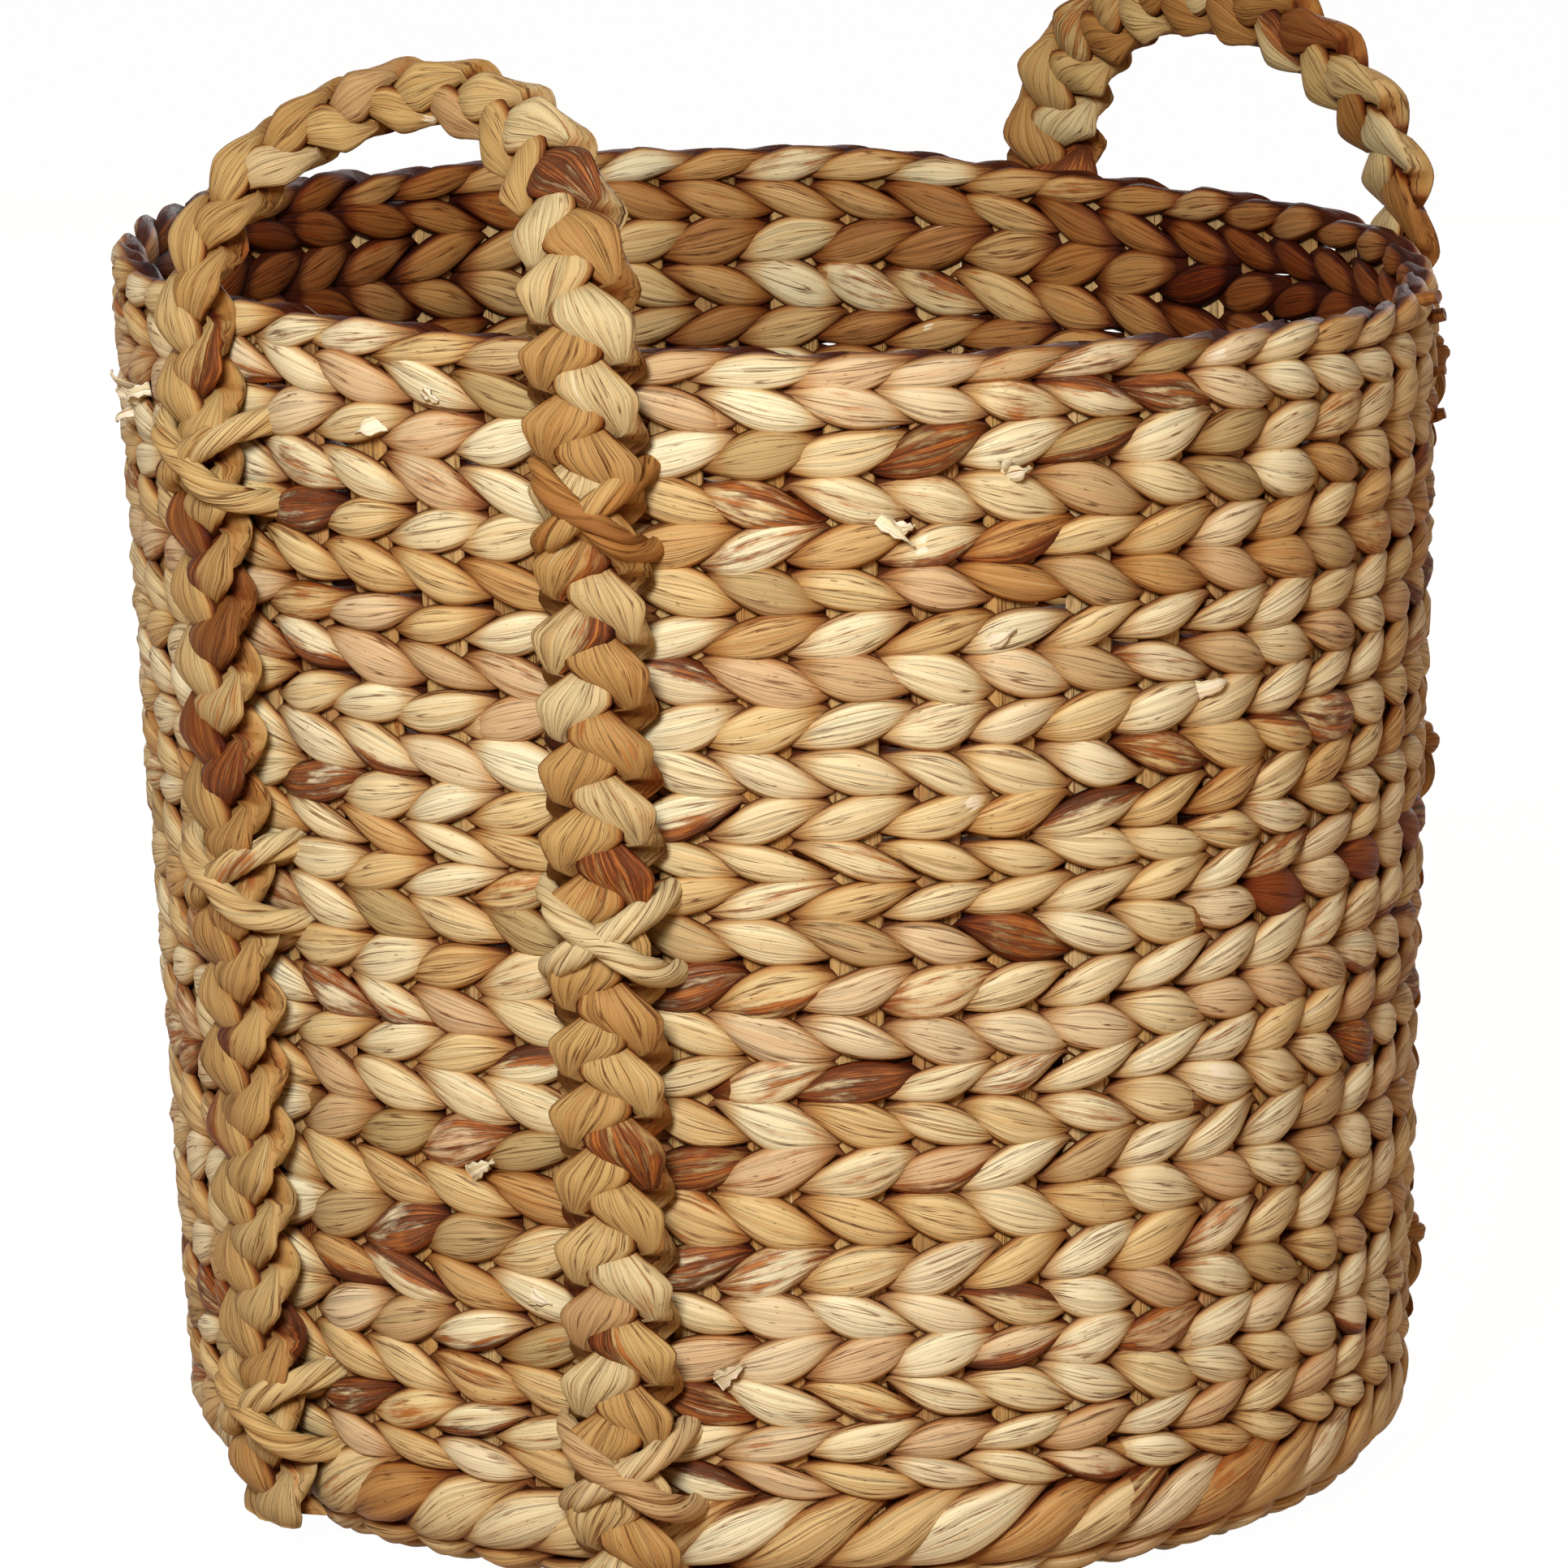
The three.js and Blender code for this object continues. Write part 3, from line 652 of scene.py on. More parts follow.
def maths(tree, operation, *values, **settings):
    links = {f"i{index}": value for index, value in enumerate(values)}
    settings["operation"] = operation
    return add_node(tree, "ShaderNodeMath", settings, **links).outputs[0]


def mixed(tree, share, colour, other, blend="MULTIPLY"):
    """The first colour with the second one, a socket or a plain colour, over it by a share."""
    if not isinstance(other, bpy.types.NodeSocket):
        other = (*other, 1)
    return add_node(tree, "ShaderNodeMix", {"data_type": "RGBA", "blend_type": blend},
                    i0=share, i6=colour, i7=other).outputs[2]


def ramped(tree, value, stops):
    """The colour that a value picks between stops, each a place and a colour."""
    made = add_node(tree, "ShaderNodeValToRGB", Fac=value)
    elements = made.color_ramp.elements
    while len(elements) > 1:
        elements.remove(elements[-1])
    for index, (place, colour) in enumerate(stops):
        element = elements.new(place) if index else elements[0]
        element.position = place
        element.color = (*colour, 1)
    return made.outputs[0]


def ranged(tree, value, low, high, start, end):
    """A value's way from low to high as a smooth way from start to end."""
    return add_node(tree, "ShaderNodeMapRange", {"interpolation_type": "SMOOTHSTEP"},
                    Value=value, i1=low, i2=high, i3=start, i4=end).outputs[0]


def noise(tree, grain, along, across, detail, roughness=0.5):
    """Noise whose features have the given millimetres along and across a stem."""
    place = add_node(tree, "ShaderNodeMapping", Vector=grain,
                     Scale=(1 / along, 1 / across, 1 / across)).outputs[0]
    return add_node(tree, "ShaderNodeTexNoise", Vector=place, Scale=1.0, Detail=detail,
                    Roughness=roughness).outputs[0]


def seen_by(tree, *rays):
    """1 for light paths of the given kinds, and 0 for the others."""
    path = add_node(tree, "ShaderNodeLightPath")
    kinds = [path.outputs[f"Is {ray} Ray"] for ray in rays]
    seen = kinds[0]
    for kind in kinds[1:]:
        seen = maths(tree, "MAXIMUM", seen, kind)
    return seen


def dried_stem(name):
    """Dried water hyacinth stem: a spongy stalk pressed flat, with fine raised fibres along it,
    rusty and dark stains near the leaf's foot, and a soft satin skin; shade is painted into the
    depths between the stems and along their edges."""
    if name in bpy.data.materials:
        return bpy.data.materials[name]
    tint, roughness, stain_reach, depth_shade_strength = STEM_KINDS[name]
    colours = bpy.context.scene.stem_colours
    material = bpy.data.materials.new(name)
    tree = empty_tree(material)
    grain = add_node(tree, "ShaderNodeAttribute", {"attribute_name": "grain"}).outputs["Vector"]
    tone = add_node(tree, "ShaderNodeAttribute", {"attribute_name": "tone"})
    split = add_node(tree, "ShaderNodeSeparateColor", Color=tone.outputs["Color"])
    pick, stain, bleach = (split.outputs[i] for i in range(3))
    # The alpha holds the shade painted into the depths and along the stems' edges
    painted_shade = tone.outputs["Alpha"]

    # Fibres 0.8 mm apart, streaks 2.4 mm wide, blotches 14 mm long and specks 3 mm long
    fibre = noise(tree, grain, 60, 0.8, 3.0, 0.62)
    streak = noise(tree, grain, 90, 2.4, 2.0)
    blotch = noise(tree, grain, 14, 2.6, 4.0, 0.6)
    speck = noise(tree, grain, 3.0, 0.9, 1.0)
    hue = ramped(tree, maths(tree, "MULTIPLY_ADD", streak, 0.16, pick), [
        (0.10, colours.rust), (0.28, colours.tan), (0.50, colours.straw), (0.72, colours.pale),
        (0.86, colours.blush), (0.98, colours.olive)])
    colour = mixed(tree, 1.0, hue, linear(tint))

    # Fine fibres, dark hairlines some 3 mm apart that fade in and out, and warmer streaks
    colour = mixed(tree, 0.85, colour, ranged(tree, fibre, 0.30, 0.54, 0.58, 1.04))
    peak = maths(tree, "PINGPONG", noise(tree, grain, 80, 2.8, 2.0, 0.6), 0.5)
    hair = maths(tree, "MULTIPLY", ranged(tree, peak, 0.474, 0.496, 0.0, 0.8),
                 ranged(tree, blotch, 0.36, 0.56, 0.1, 1.0))
    colour = mixed(tree, hair, colour, linear("#7A4A22"))
    colour = mixed(tree, ranged(tree, streak, 0.34, 0.52, 0.18, 0.0), colour, linear("#B9824A"))

    # Stains, darkest in their middle, and specks
    reach = maths(tree, "MULTIPLY_ADD", stain, stain_reach, blotch)
    depth = maths(tree, "MULTIPLY_ADD", stain, -0.25,
                  maths(tree, "MULTIPLY_ADD", blotch, 0.9, fibre))
    dark = ramped(tree, depth, [(0.54, colours.bark), (0.70, linear("#53260F")),
                                (0.84, colours.rust), (1.0, linear("#A8672F"))])
    colour = mixed(tree, ranged(tree, reach, 0.64, 0.90, 0.0, 0.96), colour, dark, "MIX")
    colour = mixed(tree, ranged(tree, speck, 0.70, 0.78, 0.0, 0.55), colour, linear("#7A4A24"))

    # Torn skin with white pith
    torn = maths(tree, "MULTIPLY_ADD", bleach, 0.45, streak)
    colour = mixed(tree, ranged(tree, torn, 0.73, 0.78, 0.0, 0.85), colour, colours.pith, "MIX")

    # Painted shade: the depths between the stems and their edge lines darkened through browns
    deep = maths(tree, "MULTIPLY", painted_shade, depth_shade_strength, use_clamp=True)
    colour = mixed(tree, 1.0, colour, ramped(tree, deep, [
        (0.0, linear("#FFFFFF")), (0.35, linear("#DFC6AA")), (0.70, linear("#A06E50")),
        (1.0, colours.painted_shade)]))

    rough = add_node(tree, "ShaderNodeMapRange", Value=fibre, i1=0.3, i2=0.7,
                     i3=roughness + 0.12, i4=roughness - 0.08).outputs[0]
    relief = maths(tree, "MULTIPLY_ADD", hair, -0.35,
                   maths(tree, "MULTIPLY_ADD", streak, 0.3, fibre))
    bump = add_node(tree, "ShaderNodeBump", Height=relief, Strength=0.8,
                    Distance=0.6 * MILLIMETRE).outputs[0]
    shader = add_node(tree, "ShaderNodeBsdfPrincipled", Base_Color=colour, Roughness=rough,
                      IOR=1.45, Specular_IOR_Level=0.10, Normal=bump)
    add_node(tree, "ShaderNodeOutputMaterial", Surface=shader.outputs[0])
    return material


class BASKET_OT_wall(bpy.types.Operator):
    """Twine the courses of the wall"""
    bl_idname = "basket.twine_wall"
    bl_label = "Twine the wall"

    def execute(self, context):
        for number, node in enumerate(COURSES, start=1):
            low, high = node_box(node)
            weave = Weave(node + "_stems", 100 + number)
            twine(weave, (low[2] + high[2]) / 2, high[2] - low[2], -1 if number % 2 else 1,
                  inside_shade_share=1, leaf=SHORT_LEAF, width=0.975)
            weave.make("dried_hyacinth_stem", "twined_stems", node)
        return {"FINISHED"}


class BASKET_OT_foot(bpy.types.Operator):
    """Twine the heavy wale at the foot and the courses that turn under"""
    bl_idname = "basket.twine_foot"
    bl_label = "Twine the foot"

    def execute(self, context):
        low = BEND_RADIUS - BEND_LENGTH / 2
        weave = Weave("foot_wale_stems", 71)
        twine(weave, (low + WALL_BOTTOM) / 2, WALL_BOTTOM - low, 1, crossings=34, steps=18,
              strands=3, twist=1.55, width=0.72)
        weave.make("dried_hyacinth_stem", "twined_stems", "foot_wale")
        weave = Weave("foot_course_stems", 72)
        height = BEND_LENGTH / 4
        for row in range(2):
            twine(weave, low - (row + 0.5) * height, height * 1.08, -1 if row % 2 else 1)
        weave.make("dried_hyacinth_stem", "twined_stems", "foot_course")
        return {"FINISHED"}


class BASKET_OT_rim(bpy.types.Operator):
    """Twist the rope that closes the rim"""
    bl_idname = "basket.twist_rim"
    bl_label = "Twist the rim"

    def execute(self, context):
        weave = Weave("rim_rope_stems", 81)
        twine(weave, (WALL_TOP + RIM_TOP) / 2 + 0.2, (RIM_TOP - WALL_TOP) * 1.02, 1, proud=6.2,
              width=1.02, inside_shade_share=0.8)
        weave.make("dried_hyacinth_stem", "twined_stems", "rim_rope")
        return {"FINISHED"}


class BASKET_OT_base(bpy.types.Operator):
    """Twine the round base over the spokes"""
    bl_idname = "basket.twine_base"
    bl_label = "Twine the base"

    def execute(self, context):
        weave = Weave("base_weave_stems", 91)
        height = (BASE_RADIUS - HUB_RADIUS) / BASE_ROWS
        for row in range(BASE_ROWS):
            radius = BASE_RADIUS - (row + 0.5) * height
            crossings = next(count for above, count in BASE_LOBES if radius > above)
            twine(weave, BASE_EDGE - (row + 0.5) * height, height, -1 if row % 2 else 1,
                  crossings=crossings, steps=9 if crossings == STAKE_COUNT else 13, sides=12,
                  width=1.08)
        weave.make("dried_hyacinth_stem", "twined_stems", "base_weave")
        return {"FINISHED"}


class BASKET_OT_stakes(bpy.types.Operator):
    """Set the flat stakes, from the middle of the base up into the rim"""
    bl_idname = "basket.set_stakes"
    bl_label = "Set the stakes"

    def execute(self, context):
        sizes = bpy.context.scene.basket_sizes
        weave = Weave("stakes_stems", 61)
        rng = weave.rng
        lengths = np.concatenate([
            np.linspace(BASE_EDGE - BASE_RADIUS + SPOKE_START, BASE_EDGE, 12, endpoint=False),
            np.linspace(BASE_EDGE, BEND_RADIUS, 8, endpoint=False),
            np.linspace(BEND_RADIUS, WALL_TOP + STAKE_TUCK, 30)])
        sides = 10
        turn = ring_turn(sides)
        squared = np.sign(np.cos(turn)) * np.abs(np.cos(turn)) ** 0.6
        thick = millimetres(sizes.stake_thickness) / 2
        inward = np.maximum(BASE_EDGE - lengths, 0)
        radius = wall_radius(np.maximum(lengths, BEND_RADIUS)) - MIDDLE - inward
        widest = np.minimum(millimetres(sizes.stake_width) / 2, SPOKE_SHARE * PITCH * radius)
        for stake in range(STAKE_COUNT):
            half = widest * (1 + 0.08 * smooth_noise(rng, len(lengths), 12)[:, 0])
            wide = half[:, None] * squared
            lift = thick * np.sin(turn)[None] + 0.35 * smooth_noise(rng, len(lengths), 20)
            lift = lift + 0.2 * smooth_noise(rng, len(lengths), 8, rows=sides)
            angle = stake_angle(float(stake), lengths)[:, None] + wide / radius[:, None]
            grain = grain_map(lengths[:, None], half.max() * squared[None],
                              thick * np.sin(turn)[None]) + grain_shift(rng)
            tone = stem_tone(rng, lengths / LOBE_LENGTH, squared + 0 * wide, every_stain=14,
                             hue=rng.choice(STAKE_HUES))
            # The stakes take an even painted shade
            weave.tube(on_wall(angle, lengths[:, None] + 0 * wide, lift), grain, tone,
                       STAKE_PAINTED_SHADE)
        weave.make("dried_stake_stem", "stake_stems", "stakes")
        return {"FINISHED"}


def handle_line(handle):
    """Middle, outward direction, share of the full width and turn of a handle's braid, from foot
    to foot."""
    degrees, shares, turns = np.array(handle["shape"], float).T

    def leg(turn, share, face_turn):
        out = outward(turn)
        centre = out * (wall_radius(BEND_RADIUS) - BEND_RADIUS) + UP * BEND_RADIUS
        places = []
        for angle in np.radians(np.linspace(-LEG_END_TURN, 0, LEG_END_STEPS, endpoint=False)):
            normal = out * math.cos(angle) + UP * math.sin(angle)
            places.append((centre + normal * (BEND_RADIUS + BRAID_DEPTH), normal, 1.0, 0.0))
        for height in np.linspace(BEND_RADIUS, RIM_TOP, LEG_STEPS):
            reached = eased(min(max((height - RIM_TOP) / EASE_LENGTH + 1, 0), 1))
            places.append((out * (wall_radius(height) + BRAID_DEPTH) + UP * height, out,
                           1 + (share - 1) * reached, face_turn * reached))
        return places

    def arch():
        out = outward(handle["turn"])
        along = np.array([-out[1], out[0], 0])
        half = math.radians(handle["spread"])
        radius = wall_radius(RIM_TOP) + BRAID_DEPTH
        places = []
        for angle in np.linspace(0, math.pi, ARCH_STEPS)[1:-1]:
            rise = math.sin(angle)
            middle = out * (radius * math.cos(half) - handle["lean"] * rise * rise)
            middle = middle - along * radius * math.sin(half) * math.cos(angle)
            middle[2] = RIM_TOP + ARCH_RISE * rise
            flat = middle * [1, 1, 0]
            share, face_turn = (np.interp(math.degrees(angle), degrees, values)
                                for values in (shares, turns))
            places.append((middle, flat / np.linalg.norm(flat), share, face_turn))
        return places

    places = leg(handle["turn"] - handle["spread"], shares[0], turns[0]) + arch()
    places = places + leg(handle["turn"] + handle["spread"], shares[-1], turns[-1])[::-1]
    return [np.array(values) for values in zip(*places)]


def even_line(step, middles, *values):
    """The line and what goes with it, sampled at even lengths."""
    lengths = lengths_along(middles)
    even = np.linspace(0, lengths[-1], int(round(lengths[-1] / step)) + 1)

    def sample(value):
        value = np.asarray(value, float)
        if value.ndim == 1:
            return np.interp(even, lengths, value)
        return np.stack([np.interp(even, lengths, column) for column in value.T], -1)

    return even, *[sample(value) for value in (middles, *values)]


def braid(weave, handle, ties):
    """Three flattened stems braided flat along a handle's line, drawn in at the lashings."""
    sizes = bpy.context.scene.braid_sizes
    rng = weave.rng
    lengths, line, out, narrow, turn = even_line(BRAID_STEP, *handle_line(handle))
    reach = len(LINE_WEIGHTS) // 2
    for column in range(3):
        padded = np.pad(line[:, column], reach, mode="edge")
        smoothed = np.convolve(padded, LINE_WEIGHTS, mode="valid")
        line[reach:-reach, column] = smoothed[reach:-reach]
    tangent = normalized(np.gradient(line, axis=0))
    flat = normalized(np.cross(tangent, out))
    angle = np.radians(turn)[:, None]
    wide = flat * np.cos(angle) + np.cross(flat, tangent) * np.sin(angle)
    thick = np.cross(wide, tangent)
    squeeze = narrow.copy()
    for place in ties:
        squeeze = squeeze - TIE_SQUEEZE * np.exp(-((lengths - place) / TIE_REACH) ** 2)
    offset = millimetres(sizes.lobe_offset) * squeeze
    half = millimetres(sizes.lobe_width) / 2 * squeeze
    reach = millimetres(sizes.lobe_reach) * squeeze

    def vary(amount, every):
        return amount * smooth_noise(rng, len(lengths), lengths[-1] / every)[:, 0]

    warp = vary(0.5, 40)
    repeats = np.cumsum((1 - 0.25 * (1 - narrow)) * lengths[1]) / millimetres(sizes.repeat)
    for strand in range(3):
        place = 4 * (repeats + strand / 3) - 0.5 + vary(0.08, 30)
        front_side = np.clip(4 * np.cos(math.pi / 2 * place), -1, 1)
        back_side = np.clip(4 * np.sin(math.pi / 2 * place), -1, 1)
        proud = millimetres(sizes.thickness) / 2 * (1 + 0.3 * (1 - narrow) + vary(0.06, 20))
        proud = proud[:, None]
        across, through, side = two_faced(
            rng, place, lengths, (warp + offset * front_side, warp + offset * back_side),
            (reach * front_side, -reach * back_side), half * (1 + vary(0.09, 20)), proud,
            edge_share=0.58, sides=BRAID_SIDES, fall=1.3)
        # Painted shade in the braid's depths, strongest near its middle, and thin dark lines along
        # the stems' edges that fade towards the braid's borders
        border = np.abs(across) / (BRAID_HALF * narrow[:, None])
        painted_shade = painted_depth_shade(side, np.hypot(through / proud, border), 1.25, 1.5,
                        np.clip((0.95 - border) / 0.3, 0.15, 1))
        points = (line[:, None] + across[..., None] * wide[:, None]
                  + through[..., None] * thick[:, None])
        grain = grain_map(lengths[:, None] * BRAID_SLACK, millimetres(sizes.lobe_width) / 2 * side,
                          2.0 * np.sign(through)) + grain_shift(rng)
        tone = stem_tone(rng, place, side, through >= 0, every_stain=13, stem=6)
        pick = tone[..., 0]
        darker = np.maximum(pick * 1.15 - handle["darker"], handle["deepest"])
        tone[..., 0] = np.where(pick > 0.2, darker, pick)
        weave.tube(points, grain, tone, painted_shade)


class BASKET_OT_handles(bpy.types.Operator):
    """Braid the two handles, whose legs run down the wall to the foot"""
    bl_idname = "basket.braid_handles"
    bl_label = "Braid the handles"

    def execute(self, context):
        for number, (name, handle) in enumerate(HANDLES.items()):
            weave = Weave("handle_braid_" + name + "_stems", 41 + number)
            middles = handle_line(handle)[0]
            lengths = lengths_along(middles)
            ties = []
            for leg in LEGS:
                for level in LEVELS:
                    low, high = node_box("_".join(["lashing", name, leg, level]))
                    apart = np.linalg.norm(middles - (low + high) / 2, axis=1)
                    ties.append(lengths[np.argmin(apart)])
            braid(weave, handle, ties)
            weave.make("braided_hyacinth_stem", "braid_stems", "handle_braid_" + name)
        return {"FINISHED"}


class BASKET_OT_lashings(bpy.types.Operator):
    """Lash the braids to the wall with crossed, twisted cords"""
    bl_idname = "basket.lash_handles"
    bl_label = "Lash the handles"

    def execute(self, context):
        radius = millimetres(context.scene.braid_sizes.cord_radius)
        for number, (name, handle) in enumerate(HANDLES.items()):
            for leg, side in LEGS.items():
                out = outward(handle["turn"] + side * handle["spread"])
                for place, level in enumerate(LEVELS):
                    node = "_".join(["lashing", name, leg, level])
                    low, high = node_box(node)
                    height = (low[2] + high[2]) / 2
                    seed = 20 + number * 6 + place + (3 if side > 0 else 0)
                    weave = Weave(node + "_cords", seed)
                    foot = out * wall_radius(height) + UP * height
                    rise = (high[2] - low[2]) - 2 * radius
                    half = HIGH_CORD_HALF if level == "high" and side > 0 else CORD_HALF
                    for over, slant in enumerate((1, -1)):
                        self.cord(weave, foot, out, slant * rise, radius, over,
                                  CORD_HUES[name + leg][place], half)
                    weave.make("twisted_hyacinth_cord", "lashing_cord", node)
        return {"FINISHED"}

    def cord(self, weave, foot, out, rise, radius, over, hue, half):
        """A cord of two plies, from the wall over the braid and back to the wall, which rises
        along the leg as it goes and lies a little higher where it is over the other one."""
        rng = weave.rng
        share = np.linspace(-1, 1, CORD_BENDS)
        across = half * np.sign(share) * np.abs(share) ** 0.85
        arched = (1 - np.abs(share) ** 3.6) ** 0.75
        proud = -CORD_SINK + (CORD_TOP + over + CORD_SINK) * arched
        lengths, line = even_line(CORD_STEP, (
            foot + across[:, None] * np.array([-out[1], out[0], 0]) + proud[:, None] * out
            + (rise / 2 * share * 1.1)[:, None] * UP))
        ahead = normalized(np.gradient(line, axis=0))
        lift = normalized(np.cross(ahead, np.cross(out, ahead)))
        flat = np.cross(ahead, lift)
        for ply in range(2):
            phase = FULL_TURN * (lengths / CORD_PITCH + ply / 2) + rng.uniform(0, 0.3)
            normal = np.cos(phase)[:, None] * flat + np.sin(phase)[:, None] * lift
            path = line + radius * PLY_OFFSET * normal
            course = normalized(np.gradient(path, axis=0))
            wide = normalized(np.cross(course, normal))
            points, grain = stem_section(
                rng, path, lengths, wide, np.cross(wide, course),
                np.full(len(path), radius * PLY_HALF), radius * PLY_HALF_THICKNESS, CORD_SIDES,
                crease=0.2)
            sides = np.cos(ring_turn(CORD_SIDES)) + 0 * points[..., 0]
            tone = stem_tone(rng, lengths / 20, sides, every_stain=9, hue=hue)
            # Painted shade on the plies, darkest where they lie close to the cord's middle, in the
            # groove between them
            reach = np.linalg.norm(points - line[:, None], axis=-1)
            weave.tube(points, grain + grain_shift(rng), tone,
                       np.clip(1.3 - 1.6 * reach / radius, 0, 1))


class BASKET_OT_ends(bpy.types.Operator):
    """Add torn flaps and the cut ends of spliced stems"""
    bl_idname = "basket.add_loose_ends"
    bl_label = "Add the loose ends"

    def execute(self, context):
        weave = Weave("loose_stem_ends", 51)
        for turn, height, run, rise, start, end in FLAPS:
            bends = [(0, 0, start), (run / 2, rise / 2, end + 2.5), (run, rise, end)]
            self.strip(weave, turn, height, bends, FLAP_HALF, FLAP_HALF_THICKNESS, False,
                       (0.62, 0.15, 0.56))
        for turn, height, thick in STUBS:
            self.strip(weave, turn, height, STUB_BENDS, STUB_HALF, thick / 2, True,
                       (0.20, 0.15, 0.0))
        weave.make("dried_hyacinth_stem", "twined_stems")
        return {"FINISHED"}

    def strip(self, weave, turn, height, bends, half, half_thickness, cut, tone):
        """A flat strip along a curve drawn through bends, each the run round the wall, the rise
        and the depth outwards. A cut one keeps its width to its end, and a torn one narrows."""
        rng = weave.rng
        places = np.linspace(0, 1, 15)
        curve = np.array([self.bend(np.array(bends, float), place) for place in places])
        angle = math.radians(turn) + curve[:, 0] / (wall_radius(height) - MIDDLE)
        path = on_wall(angle, height + curve[:, 1], curve[:, 2])
        course = normalized(np.gradient(path, axis=0))
        out = np.stack([np.cos(angle), np.sin(angle), 0 * angle], -1)
        round_wall = np.stack([-np.sin(angle), np.cos(angle), 0 * angle], -1)
        across = normalized(round_wall if cut else np.cross(out, course))
        ragged = 1 + 0.3 * smooth_noise(rng, len(path), 7)[:, 0]
        ragged = ragged - (0 if cut else 0.9 * places ** 1.5)
        points, grain = stem_section(
            rng, path, lengths_along(path), across, np.cross(course, across), half * ragged,
            half_thickness, 10, crease=0.15)
        tone = np.broadcast_to(tone, (*points.shape[:2], 3))
        # Cut stubs take painted shade at half strength, torn flaps none
        weave.tube(points, grain + grain_shift(rng), tone, 0.5 * cut)

    def bend(self, points, place):
        while len(points) > 1:
            points = points[:-1] * (1 - place) + points[1:] * place
        return points[0]


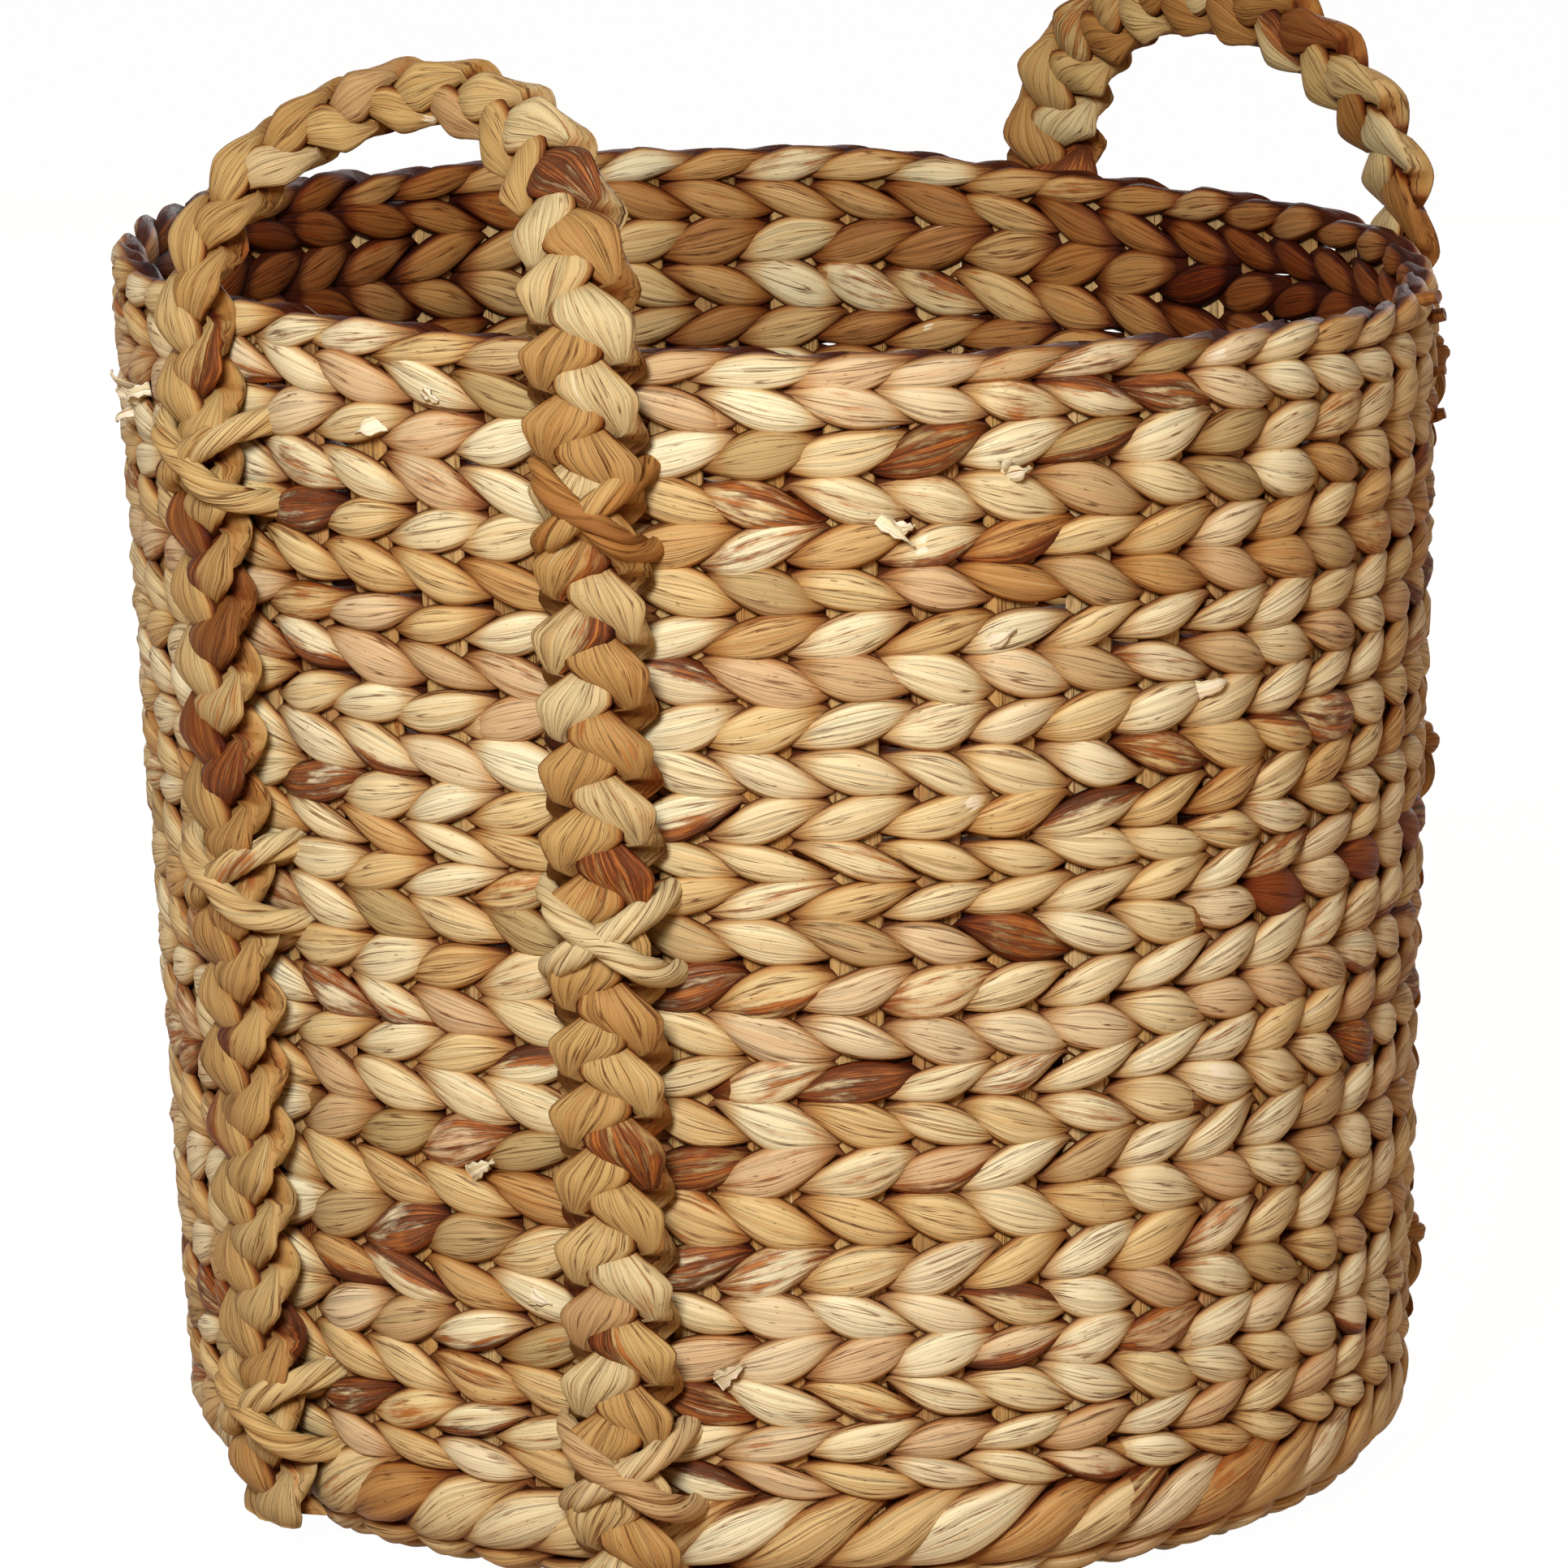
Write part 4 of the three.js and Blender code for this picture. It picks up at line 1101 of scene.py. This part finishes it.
class BASKET_OT_stage(bpy.types.Operator):
    """Set the pale floor, the lights, the backdrop and the camera"""
    bl_idname = "basket.set_stage"
    bl_label = "Set the stage"

    def execute(self, context):
        scene = context.scene
        self.set_camera(scene)
        self.set_floor()
        self.set_lights(scene)
        scene.view_settings.view_transform = "Standard"
        return {"FINISHED"}

    def set_camera(self, scene):
        right = Vector((*CAMERA_RIGHT, 0))
        ahead = Vector((-CAMERA_RIGHT[1], CAMERA_RIGHT[0], 0))
        place = -ahead * CAMERA_DISTANCE + Vector(UP) * CAMERA_HEIGHT
        yaw = math.atan(AXIS_PIXELS / FOCAL_PIXELS)
        ahead, right = (ahead * math.cos(yaw) - right * math.sin(yaw),
                        right * math.cos(yaw) + ahead * math.sin(yaw))
        sight = ahead * math.cos(CAMERA_PITCH) - Vector(UP) * math.sin(CAMERA_PITCH)
        up = right.cross(sight)
        side = right * math.cos(CAMERA_ROLL) - up * math.sin(CAMERA_ROLL)
        up = up * math.cos(CAMERA_ROLL) + right * math.sin(CAMERA_ROLL)
        data = bpy.data.cameras.new("camera")
        data.sensor_width = 36
        data.lens = data.sensor_width * FOCAL_PIXELS / IMAGE_PIXELS
        data.clip_end = 100
        camera = bpy.data.objects.new("camera", data)
        scene.collection.objects.link(camera)
        turn = Matrix((side, up, -sight)).transposed()
        camera.matrix_world = Matrix.Translation(place * MILLIMETRE) @ turn.to_4x4()
        scene.camera = camera

    def set_floor(self):
        """Matt white paper, which shows white to the camera and keeps a faint shadow"""
        bpy.ops.mesh.primitive_plane_add(size=60, location=(0, 0, 0))
        floor = bpy.context.object
        floor.name = "floor"
        material = bpy.data.materials.new("white_paper_floor")
        tree = empty_tree(material)
        amount = maths(tree, "MULTIPLY", seen_by(tree, "Camera", "Glossy", "Transmission"), 0.88)
        paper = add_node(tree, "ShaderNodeBsdfDiffuse", Color=(*linear("#B8946C"), 1))
        white = add_node(tree, "ShaderNodeEmission", Color=(1, 1, 1, 1), Strength=1.12)
        shown = add_node(tree, "ShaderNodeMixShader", i0=amount, i1=paper.outputs[0],
                         i2=white.outputs[0])
        add_node(tree, "ShaderNodeOutputMaterial", Surface=shown.outputs[0])
        floor.data.materials.append(material)

    def set_lights(self, scene):
        scene.world = bpy.data.worlds.new("white_studio")
        tree = empty_tree(scene.world)
        soft = add_node(tree, "ShaderNodeBackground", Color=(*linear("#FFB070"), 1),
                        Strength=0.155)
        white = add_node(tree, "ShaderNodeBackground", Color=(1, 1, 1, 1), Strength=1.0)
        shown = add_node(tree, "ShaderNodeMixShader", i0=seen_by(tree, "Camera", "Glossy"),
                         i1=soft.outputs[0], i2=white.outputs[0])
        add_node(tree, "ShaderNodeOutputWorld", Surface=shown.outputs[0])
        right = Vector((*CAMERA_RIGHT, 0))
        ahead = Vector((-CAMERA_RIGHT[1], CAMERA_RIGHT[0], 0))
        # Metres ahead, to the right and up, size in metres, watts and colour
        for name, (far, beside, high), size, power, colour in (
                ("key", (-2.42, -0.50, 1.6), 0.7, 89, "#FFFFFF"),
                ("side", (-1.5, 2.1, 0.28), 1.0, 6, "#FFD2A0"),
                ("back", (2.4, 0.5, 0.9), 1.4, 28, "#FFFFFF")):
            data = bpy.data.lights.new(name, "AREA")
            data.size = size
            data.energy = power
            data.color = linear(colour)
            lamp = bpy.data.objects.new(name, data)
            scene.collection.objects.link(lamp)
            lamp.location = ahead * far + right * beside + Vector(UP) * high
            sight = Vector((0, 0, 0.2)) - lamp.location
            lamp.rotation_euler = sight.to_track_quat("-Z", "Y").to_euler()


class BASKET_PT_panel(bpy.types.Panel):
    """Lists the sizes, the colours and the steps of the basket"""
    bl_idname = "BASKET_PT_panel"
    bl_label = "Basket"
    bl_space_type = "VIEW_3D"
    bl_region_type = "UI"
    bl_category = "Basket"

    def draw(self, context):
        for key in GROUPS:
            group = getattr(context.scene, key)
            for setting in group.bl_rna.properties.keys():
                if setting not in ("rna_type", "name"):
                    self.layout.prop(group, setting)
        for operator in OPERATORS:
            self.layout.operator(operator.bl_idname)


OPERATORS = (
    BASKET_OT_stakes, BASKET_OT_base, BASKET_OT_foot, BASKET_OT_wall, BASKET_OT_rim,
    BASKET_OT_handles, BASKET_OT_lashings, BASKET_OT_ends, BASKET_OT_stage,
)
GROUPS = {"basket_sizes": BasketSizes, "braid_sizes": BraidSizes, "stem_colours": StemColours}


def register():
    for item in (*GROUPS.values(), *OPERATORS, BASKET_PT_panel):
        bpy.utils.register_class(item)
    for key, group in GROUPS.items():
        setattr(bpy.types.Scene, key, bpy.props.PointerProperty(type=group))


def unregister():
    for key in GROUPS:
        delattr(bpy.types.Scene, key)
    for item in reversed((*GROUPS.values(), *OPERATORS, BASKET_PT_panel)):
        bpy.utils.unregister_class(item)


def main():
    register()
    bpy.ops.object.select_all(action="DESELECT")
    for operator in OPERATORS:
        group, name = operator.bl_idname.split(".")
        getattr(getattr(bpy.ops, group), name)()


if __name__ == "__main__":
    main()
